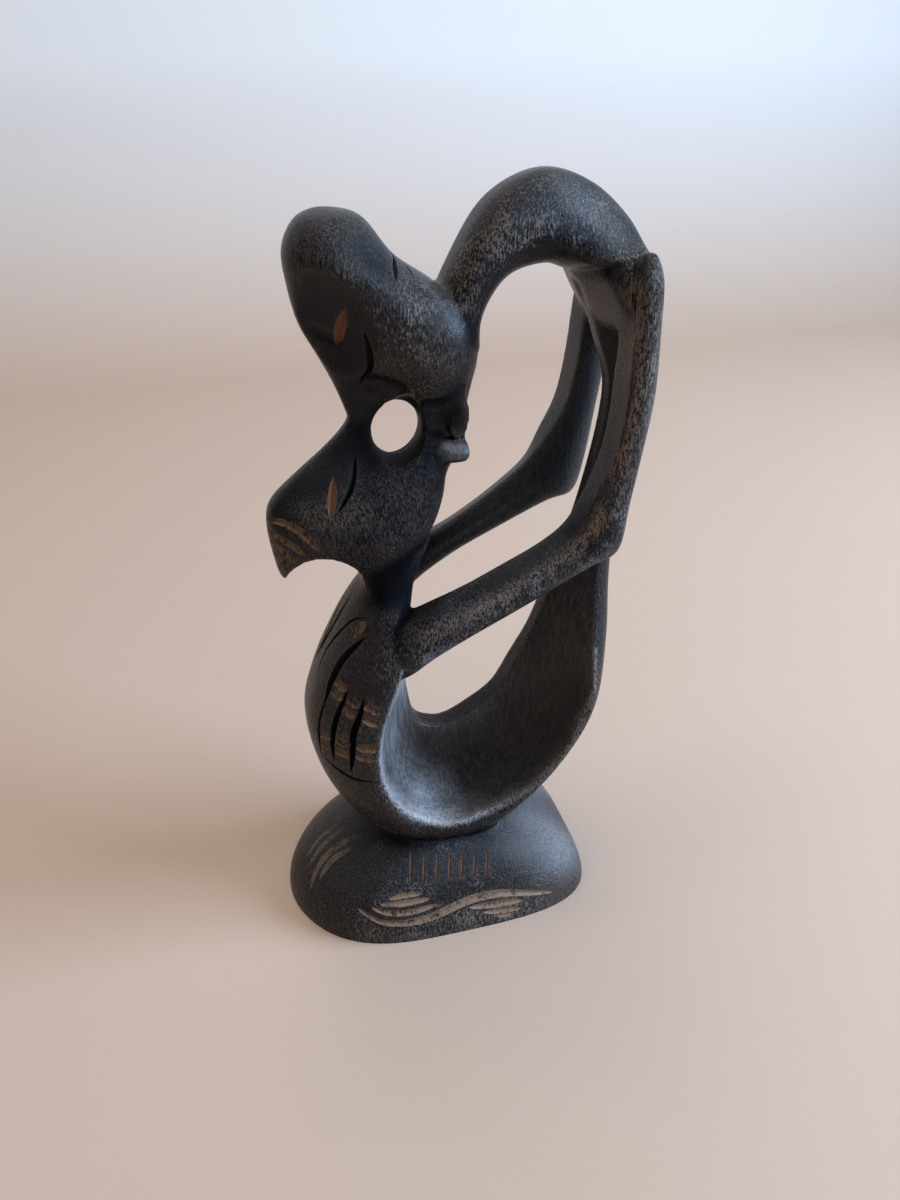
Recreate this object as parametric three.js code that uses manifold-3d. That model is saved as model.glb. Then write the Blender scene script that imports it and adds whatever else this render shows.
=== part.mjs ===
// A wooden souvenir figure: a couple in an embrace, carved from one block together with its mound.
// Units are millimetres and +Z is up. The origin is the middle of the flat underside.
// X runs along the ring of the two bodies, with the heads towards -X; Y is the depth of the block.

import * as THREE from "three";
import { mergeVertices } from "three/addons/utils/BufferGeometryUtils.js";
import Module from "manifold-3d";

const wasm = await Module();
wasm.setup();

const { lerp, smoothstep, degToRad } = THREE.MathUtils;

// Each form is lofted through a few stations. A station's section spans from an outer edge to an
// inner edge. Its columns: outer x, outer z, inner x, inner z, half width, place of the widest
// ridge from the outer edge, bulge of the outer side, bulge of the inner side, half width of the
// flat at the outer edge, the same at the inner edge, distance of the middle from Y = 0, skew.
// A bulge of 1 is a quarter circle, 0 is straight and below 0 is scooped.

// The bodies: from the lower neck round the ring, up the spine and over the arch to the upper neck.
const bodyStations = [
  [-19, 140, 3, 146, 11, 0.5, 1, 1, 2, 2, 0, 0],
  [-21, 129.5, -3.3, 132, 13, 0.5, 1, 1, 2, 2, 0, 0],
  [-25, 122.5, -5.4, 123, 19, 0.6, 1, 0.8, 2, 2, 0, 0],
  [-31, 113, -7.2, 113, 24, 0.78, 1, 0.4, 2, 2, 0, 0],
  [-39, 97, -8, 96, 25, 0.73, 1, 0, 2, 2.5, 0, 0],
  [-43.4, 78, -7.4, 84, 25.5, 0.63, 1, -0.55, 2, 3, 0, 0],
  [-36.4, 50.5, -4.6, 72.5, 26, 0.49, 1, -0.75, 2, 4, 0, 0],
  [-17, 27.5, 1.5, 68.8, 25.5, 0.4, 1, -0.8, 2, 4, 0, 0],
  [12, 21, 7, 68.8, 24.5, 0.38, 1, -0.8, 2, 4, 0, 0],
  [31.6, 32.3, 14, 72.2, 25.5, 0.31, 0.8, -0.75, 2, 4, 0, 0],
  [47.6, 54.4, 24.3, 79.3, 26, 0.24, 0.7, -0.6, 2, 4, 0, 0],
  [60, 78, 31, 90.5, 25, 0.26, 0.8, -0.4, 2, 4, 0, 0],
  [63.6, 101.5, 38, 104, 19, 0.38, 1, 0, 2, 3, 0, 0],
  [64, 124, 45, 124, 12, 0.4, 1, 0.4, 2, 2, 0, 0],
  [65.5, 150, 53.5, 150, 7.5, 0.5, 1, 0.5, 2, 2, 0, 0],
  [67.5, 184, 59.6, 184, 6.5, 0.45, 1, 0.3, 2, 2.5, 0, 0],
  [68.5, 206, 55, 202, 10, 0.5, 1, 0.2, 2, 2.5, 0, 0],
  [68, 222, 49.5, 216.5, 24, 0.35, 0.9, -0.1, 2, 3, 0, 0],
  [63.9, 230, 46.5, 220, 22, 0.42, 1, -0.1, 2, 3, 0, 0],
  [60.5, 236.5, 44, 222.5, 19, 0.76, 1, 0.1, 2, 4, 0, 0],
  [50, 245.2, 41, 223.5, 15, 0.82, 1, 0.4, 2, 4, 0, 0],
  [36, 249, 36, 224.7, 13, 0.68, 1, 0.8, 2, 3, 0, 0],
  [20.6, 242, 25.4, 221.4, 12, 0.5, 1, 1, 2, 2, 0, 0],
  [9.8, 226, 18.3, 211, 11.5, 0.5, 1, 1, 2, 2, 0, 0],
  [3, 212, 18, 200, 11, 0.5, 1, 1, 2, 2, 0, 0],
];
const upperHeadStations = [
  [-26.5, 241.3, -22.5, 241.3, 1.5, 0.5, 1, 1, 0.5, 0.5, 0, 0],
  [-32, 238.6, -14, 238.8, 10, 0.5, 1, 1, 1, 1, 0, 0],
  [-36, 231.5, -6, 228.7, 15.5, 0.5, 1, 1, 1, 1, 0, 0],
  [-35.6, 222.5, 5.6, 221, 18, 0.55, 0.9, 1, 1, 1, 0, 0],
  [-33.5, 212, 15, 211, 18.5, 0.6, 0.8, 1, 1, 1, 0, 0],
  [-29, 203, 17.6, 201, 17, 0.6, 0.7, 1, 1, 1, 0, 0],
  [-25, 194.5, 15.9, 193, 13, 0.62, 0.5, 0.9, 1, 2, 0, 0],
  [-22.3, 187, 14.2, 186, 8.5, 0.6, 0.4, 0.8, 2, 3, 0, 0],
  [-20.5, 181, 13.8, 180, 6.5, 0.6, 0.4, 0.8, 2, 4, 0, 0],
  [-20, 176, 12, 174, 6.5, 0.6, 0.4, 0.8, 2, 4, 0, 0],
];
const lowerHeadStations = [
  [-20.5, 187, 14, 185, 6.5, 0.6, 0.5, 0.8, 2, 4, 0, 0],
  [-22.5, 182, 13.8, 179, 6.5, 0.6, 0.5, 0.8, 2, 4, 0, 0],
  [-28.7, 176, 12.6, 173, 8.8, 0.6, 0.5, 0.9, 1, 3, 0, 0],
  [-39, 167.5, 8, 166, 14, 0.6, 0.6, 1, 1, 2, 0, 0],
  [-47, 160, 6.6, 158.5, 16.5, 0.6, 0.7, 1, 1, 2, 0, 0],
  [-48.6, 152.5, 4.2, 151, 17, 0.6, 0.8, 1, 1, 2, 0, 0],
  [-47.8, 143.5, 0.5, 143.5, 15, 0.6, 0.8, 1, 1, 2, 0, 0],
  [-46.3, 135.5, -3, 135, 11, 0.6, 0.8, 1, 1, 2, 0, 0],
  [-44.2, 132, -5, 128.5, 9, 0.6, 0.8, 1, 1, 2, 0, 0],
];
const armStations = [
  [61.5, 229.2, 59, 228.8, 2.5, 0.5, 1, 1, 1, 1, 21.5, 0],
  [63.8, 222, 56.4, 222, 7, 0.5, 1, 0.8, 2, 5.5, 21, 0],
  [64.7, 208, 56, 208, 8, 0.5, 1, 0.8, 2, 6, 20, 0],
  [64.9, 190, 55.6, 190, 8, 0.5, 1, 0.8, 2, 6, 20, 0],
  [62.5, 172, 53.6, 174, 8, 0.5, 1, 0.8, 2, 5.5, 20, 0],
  [60.3, 156, 48.2, 160.5, 8, 0.5, 1, 0.8, 2, 4, 20, 0],
  [57, 142, 43, 150, 8, 0.5, 1, 0.6, 3, 3, 20, -0.2],
  [48, 137.4, 35, 143.2, 7.5, 0.55, 0.7, 0.5, 3.5, 3, 20, -0.3],
  [30, 128.5, 23, 136.9, 7.5, 0.55, 0.7, 0.5, 3.5, 3, 20, -0.3],
  [12, 119.7, 10, 130.9, 7.5, 0.55, 0.7, 0.5, 3.5, 3, 20, -0.3],
  [-2, 110.8, -2, 127, 7.5, 0.55, 0.7, 0.5, 3.5, 3, 19, -0.2],
  [-12, 102.5, -12, 122, 7.5, 0.55, 0.8, 0.7, 3.5, 3, 17, 0],
  [-22, 103, -20, 115, 5.5, 0.55, 1, 1, 3.5, 3, 14, 0],
];
// A web that closes the corner between each arm and the spine under the shoulder.
const webStations = [
  [57.5, 229, 47, 223.5, 9, 0.5, 1, 1, 5, 7, 12, -0.2],
  [60.5, 222, 50, 217.5, 11, 0.5, 1, 1, 6, 9, 12, -0.2],
  [62, 214, 53, 212, 11.5, 0.5, 1, 1, 6, 9, 12, -0.2],
  [62.5, 208, 56, 207.5, 10, 0.5, 1, 1, 5, 7, 12.5, -0.2],
  [63.5, 203, 60, 204, 6, 0.5, 1, 1, 3, 4, 13, 0],
];
const farLift = 5.1;       // the far forearm runs higher than the near one
const farWeb = 5;         // its elbow is fuller on the inside
const farTuck = -1.2;     // and its outer edge is further out
const farNarrow = { shoulder: 3, elbow: -0.2 };    // and it is the slimmer one

// Concave facets that plane each cheek towards the nose: a ball bites into the cheek.
// Middle of the facet x, half depth y, z; the ball's radius and the depth of the bite.
const upperFacet = { at: [-21, 8.5, 203], facing: [-0.56, 0.8, -0.12], radius: 60, bite: -0.3 };
const lowerFacet = { at: [-31.5, 8.5, 168], facing: [-0.42, 0.78, 0.46], radius: 60, bite: 0 };
const upperLip = { x: 10, z: 184.4, rx: 3.4, rz: 7.2, depth: 18 };
// The lower lip widens downwards, so that its top slopes outwards as a ledge.
const lowerLipStations = [
  [5, 177.2, 12.4, 177, 5.6, 0.5, 0.4, 0.4, 5, 5.4, 0, 0],
  [4.2, 175.2, 13.4, 174.8, 8, 0.5, 0.4, 0.4, 7.4, 7.8, 0, 0],
  [3.8, 172.2, 13.6, 171.8, 10, 0.5, 0.4, 0.4, 9.2, 9.6, 0, 0],
  [3.2, 169.6, 12, 169.2, 9, 0.5, 0.4, 0.4, 8, 8.2, 0, 0],
];

// Cuts of the gouge. Each line is drawn in a view across the figure and dropped on its surface.
// turn is the view's direction about Z: 0 looks square at the near side, 45 from the heads' end.
// A line's points are across and height in that view; then the cut's half width and depth.
const faceCuts = [
  { line: [[-21.8, 217.2], [-22.8, 212], [-23.8, 206.7]], half: 1.3, depth: 0.9 },
  { line: [[-17.1, 211.5], [-15.8, 205], [-16.2, 198], [-18, 195]], half: 1.2, depth: 1.3 },
  { line: [[-27.5, 168.4], [-29.1, 163.6], [-30.6, 158.6]], half: 1.3, depth: 0.9 },
  { line: [[-21, 174], [-22.4, 169.7], [-24.4, 165], [-27.6, 160]], half: 0.9, depth: 1.1 },
  { line: [[-48, 155.3], [-44.6, 156.2], [-40.2, 155.6], [-34.4, 147.8]], half: 1, depth: 0.8 },
  { line: [[-48, 151.5], [-43.8, 151], [-38.2, 145.7]], half: 0.8, depth: 0.7 },
  { line: [[-47.5, 147.8], [-44.2, 146.5], [-41, 142.8]], half: 0.7, depth: 0.6 },
  { line: [[-47, 144], [-44.8, 142.8], [-42.3, 140.2]], half: 0.7, depth: 0.6 },
];
const hairCuts = [
  { line: [[-7.3, 228.4], [-8, 227], [-8.7, 225.4]], half: 0.5, depth: 0.9 },
];
const handCuts = [
  { line: [[-12, 120], [-15.3, 116], [-21.4, 105.5], [-21.5, 94.5]], half: 0.9, depth: 1.2 },
  { line: [[-5.5, 118.5], [-10.2, 111], [-14.4, 105], [-15.8, 95.5]], half: 1.9, depth: 2.4 },
  { line: [[-15.9, 100.6], [-18.2, 93.5], [-18.6, 85.6], [-19.2, 73]], half: 0.8, depth: 1.2 },
  { line: [[-8.8, 99.3], [-12, 94.5], [-12.4, 84.7], [-13, 72.5]], half: 1.1, depth: 1.8 },
  { line: [[-3.2, 98.2], [-4.6, 91], [-5.4, 82.7], [-5.2, 71]], half: 1.2, depth: 1.8 },
  { line: [[-19.6, 73], [-13.2, 70.5], [-6, 69.3], [2.5, 67.2]], half: 0.7, depth: 0.8 },
];
// Short cuts over the knuckles.
const knuckleCuts = [
  { line: [[-14.8, 99], [-8.2, 97]], half: 1.1, depth: 0.9 },
  { line: [[-9.3, 95.2], [-3.6, 93.4]], half: 1.1, depth: 0.9 },
  { line: [[-3.2, 93.2], [2.6, 90.8]], half: 1.1, depth: 0.9 },
  { line: [[-18.8, 78.8], [-13, 79.2]], half: 1.1, depth: 0.9 },
  { line: [[-12, 79.3], [-5.4, 79]], half: 1.1, depth: 0.9 },
  { line: [[-4.4, 78.8], [2, 77.2]], half: 1.1, depth: 0.9 },
];
const baseEndCuts = [
  { line: [[-27.2, 24.2], [-33.1, 19], [-35.4, 14.9]], half: 0.6, depth: 0.5 },
  { line: [[-20.2, 26.6], [-26.5, 22.8], [-29.9, 18], [-31.8, 12.9]], half: 0.7, depth: 0.6 },
  { line: [[-15.6, 27], [-21.3, 23.6], [-24.9, 19.6], [-24, 12.3]], half: 0.9, depth: 0.7 },
  { line: [[-15.1, 24.8], [-18.9, 22], [-20.7, 19.1], [-20.8, 16.3]], half: 0.9, depth: 0.7 },
];
const baseFrontCuts = [
  {
    line: [[-34, 13], [-24.2, 8.7], [-16, 8.2], [-6.5, 9.3], [3, 11.8], [11, 12.5], [21, 11.7], [38, 6.5]],
    half: 1.2,
    depth: 0.7,
  },
  { line: [[-24.6, 16.1], [-18.8, 17.8], [-12.7, 18.2]], half: 0.8, depth: 0.6 },
  { line: [[-23.9, 14.8], [-16.8, 15.2], [-9.9, 16.1]], half: 0.7, depth: 0.5 },
  { line: [[-28.8, 13.9], [-23, 12.6], [-15.8, 11.9], [-6.2, 13.6]], half: 0.8, depth: 0.6 },
  { line: [[6.1, 9.8], [14, 8.8], [24.8, 8.4]], half: 1, depth: 0.6 },
  { line: [[12.3, 6.6], [18.9, 5.4], [24.7, 4.7]], half: 0.8, depth: 0.5 },
];
// A row of slanted strokes on the front of the mound.
const strokeRow = {
  count: 7, x: -15, pitch: 4.6, slant: 2.6, low: 20.8, high: 28.2, drop: 0.35, half: 0.5, depth: 0.5,
};

const cutStep = 6.5;        // length of one facet of a cut
const cutClear = 2.2;     // a cutting form stands this far out of the surface
const cutTip = 0.15;      // size of a cut's end beside its middle

const outside = 100;      // a distance that clears the whole block
const bodyRings = 52;
const headRings = 15;
const armRings = 22;
const webRings = 5;
const base = { left: -56.6, right: 57, halfDepth: 38.7, height: 33.5, levels: 8, around: 36 };
const baseTop = degToRad(86);                    // where the rounding ends in a small flat
const baseCorner = { left: 2.1, right: 4.2 };    // higher is squarer
const baseRound = { ends: 1.36, sides: 0.8 };    // lower is fuller towards the top
const eyeHole = { x: -7.7, z: 180.2, rx: 7.5, rz: 8.8 };
// It opens out and up in the near cheek, and wider and down in the far one.
const nearFlare = { side: 1, from: 4, to: 16, spread: 1.28, lift: 2.5 };
const farFlare = { side: -1, from: 1, to: 16, spread: 1.41, lift: -2 };
const throat = { x: -32.8, z: 131.4, rx: 11.8, rz: 13 };   // the sawn arc under the lower head

function rise(x, bulge) {
  const round = Math.sqrt(1 - (1 - x) ** 2);
  const scoop = 1 - Math.sqrt(1 - x ** 2);
  return bulge > 0 ? lerp(x, round, bulge) : lerp(x, scoop, -bulge);
}

// The closed ring of points of one section. side is 1 for the near limb and -1 for the far one.
function sectionRing(row, side, steps) {
  const [ox, oz, ix, iz, width, ridge, bulgeOut, bulgeIn, flatOut, flatIn, middle, skew] = row;
  const span = Math.hypot(ix - ox, iz - oz);
  const half = [];
  for (let k = 0; k <= steps; k++) {
    const x = 1 - Math.cos((k / steps) * Math.PI / 2);
    half.push([ridge * x, flatOut + (width - flatOut) * rise(x, bulgeOut)]);
  }
  for (let k = 1; k <= steps; k++) {
    const x = 1 - Math.sin((k / steps) * Math.PI / 2);
    half.push([1 - (1 - ridge) * x, flatIn + (width - flatIn) * rise(x, bulgeIn)]);
  }
  const point = (along, y) => {
    const place = along - (skew * y) / span;
    return new THREE.Vector3(lerp(ox, ix, place), side * (y - middle), lerp(oz, iz, place));
  };
  const near = half.map(([along, h]) => point(along, -h));
  const far = half.map(([along, h]) => point(along, h)).reverse();
  return near.concat(far);
}

function smoothRows(stations, count) {
  const size = stations[0].length;
  const places = stations.map((_, i) => i);
  const smooth = new THREE.CubicInterpolant(places, stations.flat(), size, new Float32Array(size));
  const rows = [];
  for (let i = 0; i < count; i++) {
    rows.push(Array.from(smooth.evaluate((i / (count - 1)) * (stations.length - 1))));
  }
  return rows;
}

// A closed skin through rings of equal count, with a fan of triangles over each end.
function loft(rings) {
  const count = rings[0].length;
  const points = rings.flat();
  for (const ring of [rings[0], rings.at(-1)]) {
    points.push(ring.reduce((sum, p) => sum.add(p), new THREE.Vector3()).divideScalar(count));
  }
  const index = [];
  for (let i = 0; i < rings.length - 1; i++) {
    for (let j = 0; j < count; j++) {
      const a = i * count + j;
      const b = i * count + (j + 1) % count;
      index.push(a, b, b + count, a, b + count, a + count);
    }
  }
  const last = (rings.length - 1) * count;
  for (let j = 0; j < count; j++) {
    const next = (j + 1) % count;
    index.push(points.length - 2, next, j);
    index.push(points.length - 1, last + j, last + next);
  }
  const geometry = new THREE.BufferGeometry().setFromPoints(points);
  geometry.setIndex(index);
  return geometry;
}

function toSolid(geometry) {
  geometry.deleteAttribute("normal");
  geometry.deleteAttribute("uv");
  const merged = mergeVertices(geometry, 1e-4);
  const corners = [];
  for (let i = 0; i < merged.index.count; i += 3) {
    const [a, b, c] = [0, 1, 2].map((k) => merged.index.getX(i + k));
    if (a !== b && b !== c && c !== a) corners.push([a, b, c]);
  }
  const build = (triangles) => new wasm.Manifold(new wasm.Mesh({
    numProp: 3,
    vertProperties: Float32Array.from(merged.attributes.position.array),
    triVerts: Uint32Array.from(triangles.flat()),
  }));
  const solid = build(corners);
  return solid.volume() > 0 ? solid : build(corners.map((corner) => corner.reverse()));
}

function toMesh(solid, material) {
  const { vertProperties, triVerts } = solid.getMesh();
  const geometry = new THREE.BufferGeometry();
  geometry.setAttribute("position", new THREE.BufferAttribute(vertProperties, 3));
  geometry.setIndex(new THREE.BufferAttribute(triVerts, 1));
  return new THREE.Mesh(geometry, material);
}

function limb(stations, rings, side = 1, steps = 4) {
  return toSolid(loft(smoothRows(stations, rings).map((row) => sectionRing(row, side, steps))));
}

// A round bar along the depth of the block, for holes, sawn arcs and lips.
function barAlongY({ x, z, rx, rz, depth = outside }, segments = 24) {
  const bar = new THREE.CylinderGeometry(1, 1, depth, segments);
  bar.scale(rx, 1, rz);
  bar.translate(x, 0, z);
  return toSolid(bar);
}

// A cone that opens outwards from the hole on one side of the block.
function eyeFlareCone({ side, from, to, spread, lift }) {
  const cone = new THREE.CylinderGeometry(spread, 1, to - from, 24);
  cone.scale(eyeHole.rx, 1, eyeHole.rz);
  cone.applyMatrix4(new THREE.Matrix4().makeShear(0, 0, 0, lift / (to - from), 0, 0));
  cone.translate(0, (from + to) / 2, lift / 2);
  cone.scale(1, side, 1);
  cone.translate(eyeHole.x, 0, eyeHole.z);
  return toSolid(cone);
}

function moundSolid() {
  const middleX = (base.left + base.right) / 2;
  const halfLength = (base.right - base.left) / 2;
  const rings = [];
  for (let i = 0; i <= base.levels; i++) {
    const climb = (i / base.levels) * baseTop;
    const endScale = Math.cos(climb) ** baseRound.ends;
    const sideScale = Math.cos(climb) ** baseRound.sides;
    const ring = [];
    for (let j = 0; j < base.around; j++) {
      const turn = (j / base.around) * Math.PI * 2;
      const [c, s] = [Math.cos(turn), Math.sin(turn)];
      const corner = lerp(baseCorner.left, baseCorner.right, (c + 1) / 2);
      const r = (Math.abs(c) ** corner + Math.abs(s) ** corner) ** (-1 / corner);
      const x = middleX + halfLength * endScale * r * c;
      const y = base.halfDepth * sideScale * r * s;
      ring.push(new THREE.Vector3(x, y, base.height * Math.sin(climb)));
    }
    rings.push(ring);
  }
  return toSolid(loft(rings));
}

function facetBall({ at, facing, radius, bite }, side) {
  const ball = new THREE.SphereGeometry(radius, 40, 24);
  const out = new THREE.Vector3(facing[0], -side * facing[1], facing[2]).normalize();
  const middle = new THREE.Vector3(at[0], -side * at[1], at[2]).addScaledVector(out, radius - bite);
  ball.translate(middle.x, middle.y, middle.z);
  return toSolid(ball);
}

// The far arm follows the near arm's stations, lifted along the forearm and fuller at the elbow.
const farArmStations = armStations.map(([ox, oz, ix, iz, ...rest], i) => {
  const lift = farLift * smoothstep(i, 4, 8);
  const web = farWeb * (smoothstep(i, 2, 6) - smoothstep(i, 6, 9));
  const slim = lerp(farNarrow.shoulder, farNarrow.elbow, smoothstep(i, 0, 4));
  const narrow = slim * (1 - smoothstep(i, 5, 7));
  return [ox - farTuck, oz + lift, ix + narrow - 0.4 * web, iz + lift + web, ...rest];
});

let couple = limb(upperHeadStations, headRings)
  .add(limb(lowerHeadStations, headRings).subtract(barAlongY(throat)));
for (const side of [1, -1]) {
  couple = couple.subtract(facetBall(upperFacet, side)).subtract(facetBall(lowerFacet, side));
}
couple = couple.add(barAlongY(upperLip, 20)).add(limb(lowerLipStations, 4, 1, 2));
couple = couple.subtract(barAlongY(eyeHole))
  .subtract(eyeFlareCone(nearFlare))
  .subtract(eyeFlareCone(farFlare))
  .add(limb(bodyStations, bodyRings))
  .add(limb(armStations, armRings, 1, 3))
  .add(limb(farArmStations, armRings, -1, 3))
  .add(limb(webStations, webRings, 1, 3))
  .add(limb(webStations, webRings, -1, 3))
  .add(moundSolid());

// Where a line drawn in a side view meets the carved surface, with the surface's outward normal.
function dropOn(surface, across, z, turn, side) {
  const angle = degToRad(turn);
  const look = new THREE.Vector3(Math.sin(angle), side * Math.cos(angle), 0);
  const right = new THREE.Vector3(Math.cos(angle), -side * Math.sin(angle), 0);
  const start = right.multiplyScalar(across).addScaledVector(look, -outside).setZ(z);
  const hit = new THREE.Raycaster(start, look).intersectObject(surface)[0];
  return { point: hit.point, normal: hit.face.normal };
}

// A V-shaped cut along a line, drawn out to nothing at both ends as a gouge leaves it.
function gougeCut(surface, { line, half, depth }, turn, side) {
  const path = new THREE.SplineCurve(line.map(([across, z]) => new THREE.Vector2(across, z)));
  const steps = Math.max(3, Math.ceil(path.getLength() / cutStep));
  const drops = path.getSpacedPoints(steps).map((p) => dropOn(surface, p.x, p.y, turn, side));
  const rings = drops.map(({ point }, i) => {
    const around = drops.slice(Math.max(i - 1, 0), i + 2);
    const out = around.reduce((sum, drop) => sum.add(drop.normal), new THREE.Vector3()).normalize();
    const along = around.at(-1).point.clone().sub(around[0].point);
    const across = new THREE.Vector3().crossVectors(along, out).normalize();
    const taper = lerp(cutTip, 1, Math.sin((i / steps) * Math.PI) ** 0.6);
    const corner = (aside, up) => {
      return point.clone().addScaledVector(across, aside).addScaledVector(out, up);
    };
    const wide = half * taper * (1 + cutClear / depth);
    return [corner(-wide, cutClear), corner(0, -depth * taper), corner(wide, cutClear)];
  });
  return toSolid(loft(rings));
}

const uncut = toMesh(couple);
for (const side of [1, -1]) {
  for (const cut of faceCuts) couple = couple.subtract(gougeCut(uncut, cut, 0, side));
  for (const cut of handCuts) couple = couple.subtract(gougeCut(uncut, cut, 45, side));
}
for (const cut of hairCuts) couple = couple.subtract(gougeCut(uncut, cut, 0, 1));
for (const cut of knuckleCuts) couple = couple.subtract(gougeCut(uncut, cut, 45, 1));
for (const cut of baseEndCuts) couple = couple.subtract(gougeCut(uncut, cut, 45, 1));
for (const cut of baseFrontCuts) couple = couple.subtract(gougeCut(uncut, cut, 0, 1));
for (let i = 0; i < strokeRow.count; i++) {
  const x = strokeRow.x + i * strokeRow.pitch;
  const sink = i * strokeRow.drop;
  const line = [[x, strokeRow.low - sink], [x + strokeRow.slant, strokeRow.high - sink]];
  couple = couple.subtract(gougeCut(uncut, { line, ...strokeRow }, 0, 1));
}

const paintedWood = new THREE.MeshStandardMaterial({ color: 0x2c2b2d, roughness: 0.5, metalness: 0 });
const figure = toMesh(couple, paintedWood);
figure.name = "embracing_couple";
const group = new THREE.Group();
group.add(figure);
export default group;
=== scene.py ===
import math

import bmesh
import bpy
import numpy as np
from mathutils import Matrix, Vector
from mathutils.bvhtree import BVHTree


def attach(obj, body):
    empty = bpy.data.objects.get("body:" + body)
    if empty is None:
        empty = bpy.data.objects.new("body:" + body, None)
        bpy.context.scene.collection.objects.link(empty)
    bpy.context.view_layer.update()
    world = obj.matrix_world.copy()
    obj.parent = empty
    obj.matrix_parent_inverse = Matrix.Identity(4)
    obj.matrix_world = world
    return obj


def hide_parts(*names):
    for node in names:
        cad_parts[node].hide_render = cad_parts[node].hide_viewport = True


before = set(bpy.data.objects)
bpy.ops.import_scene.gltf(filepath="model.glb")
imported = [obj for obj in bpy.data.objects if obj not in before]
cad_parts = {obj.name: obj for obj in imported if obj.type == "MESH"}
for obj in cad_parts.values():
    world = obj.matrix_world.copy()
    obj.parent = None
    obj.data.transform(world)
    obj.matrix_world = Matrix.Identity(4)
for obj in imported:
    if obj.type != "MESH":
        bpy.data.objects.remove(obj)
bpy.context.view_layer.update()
mm = 0.001   # sizes and places below are in millimetres, unless a note says metres
print("frame loaded")


def deselectAll():
    bpy.ops.object.select_all(action="DESELECT")


def selectOnly(piece):
    deselectAll()
    piece.select_set(True)
    bpy.context.view_layer.objects.active = piece


def applyModifier(piece, kind, **settings):
    selectOnly(piece)
    modifier = piece.modifiers.new(kind.title(), kind)
    for name, value in settings.items():
        setattr(modifier, name, value)
    bpy.ops.object.modifier_apply(modifier=modifier.name)


def editAll():
    bpy.ops.object.mode_set(mode="EDIT")
    bpy.ops.mesh.select_all(action="SELECT")


def objectMode():
    bpy.ops.object.mode_set(mode="OBJECT")


def readArray(items, name, width, kind=float):
    values = np.empty(len(items) * width, kind)
    items.foreach_get(name, values)
    return values.reshape(-1, width)


def eased(t):
    return t * t * (3 - 2 * t)


def faceOutwards():
    editAll()
    bpy.ops.mesh.normals_make_consistent(inside=False)
    objectMode()


# the camera of the photograph: millimetres and degrees in the figure's own frame
camera = {
    "place": (-54.94, -255.91, 269.0),
    "turn": 14.0,      # to the right of +Y
    "down": 29.9,
    "roll": 0.77,
    "lens": 27.0,
    "sensor": 36.0,
    "nearest": 10,     # what is closer isn't drawn
}


def makeCamera():
    bpy.ops.object.camera_add()
    eye = bpy.context.active_object
    eye.name = "photoCamera"
    eye.data.lens = camera["lens"]
    eye.data.sensor_width = camera["sensor"]
    eye.data.clip_start = camera["nearest"] * mm
    eye.matrix_world = (
        Matrix.Translation(Vector(camera["place"]) * mm)
        @ Matrix.Rotation(math.radians(-camera["turn"]), 4, "Z")
        @ Matrix.Rotation(math.radians(90 - camera["down"]), 4, "X")
        @ Matrix.Rotation(math.radians(-camera["roll"]), 4, "Z")
    )
    bpy.context.scene.camera = eye


# Soft light: a bluish daylight window on the right, a dim one on the left, a warm lamp above and a
# long one that washes the wall. Metres and watts.
lights = {
    "aim": (0.0, 0.0, 0.13),
    "windows": [
        # name, place, width, height, watts, colour
        ("windowRight", (1.10, -0.36, 0.60), 0.7, 0.45, 31.0, (0.50, 0.71, 1.0)),
        ("windowLeft", (-1.0, -0.9, 0.9), 0.9, 0.9, 1.2, (1.0, 0.96, 0.92)),
        ("lampAbove", (0.1, -0.5, 1.5), 0.8, 0.8, 4.5, (1.0, 0.93, 0.86)),
        ("wallWash", (-0.3, 0.3, 1.6), 1.4, 0.5, 9.5, (1.0, 0.99, 0.97)),
    ],
    "air": 0.08,
    "airColour": (0.96, 0.98, 1.0),
}


def makeLights():
    for name, place, width, height, watts, colour in lights["windows"]:
        bpy.ops.object.light_add(type="AREA", location=place)
        lamp = bpy.context.active_object
        lamp.name = name
        lamp.data.shape = "RECTANGLE"
        lamp.data.size = width
        lamp.data.size_y = height
        lamp.data.energy = watts
        lamp.data.color = colour
        lamp.visible_camera = False
        lamp.rotation_mode = "QUATERNION"
        facing = Vector(lights["aim"]) - Vector(place)
        lamp.rotation_quaternion = facing.to_track_quat("-Z", "Y")
    world = bpy.data.worlds.new("studioAir")
    world.use_nodes = True
    background = world.node_tree.nodes["Background"]
    background.inputs["Color"].default_value = (*lights["airColour"], 1)
    background.inputs["Strength"].default_value = lights["air"]
    bpy.context.scene.world = world
    bpy.context.scene.view_settings.view_transform = "Standard"


# a floor that sweeps up into a pale wall far behind the figure, in metres
sweep = {
    "half": 3.0,
    "front": -2.5,
    "back": 0.95,
    "wall": 2.2,
    "curve": 0.25,
    "curveSteps": 16,
    "climb": 0.3,      # the floor's colour has given way to the wall's at this height
    "colour": (0.575, 0.410, 0.308),
    "wallColour": (0.86, 0.83, 0.79),
    "rough": 0.75,
}


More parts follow.
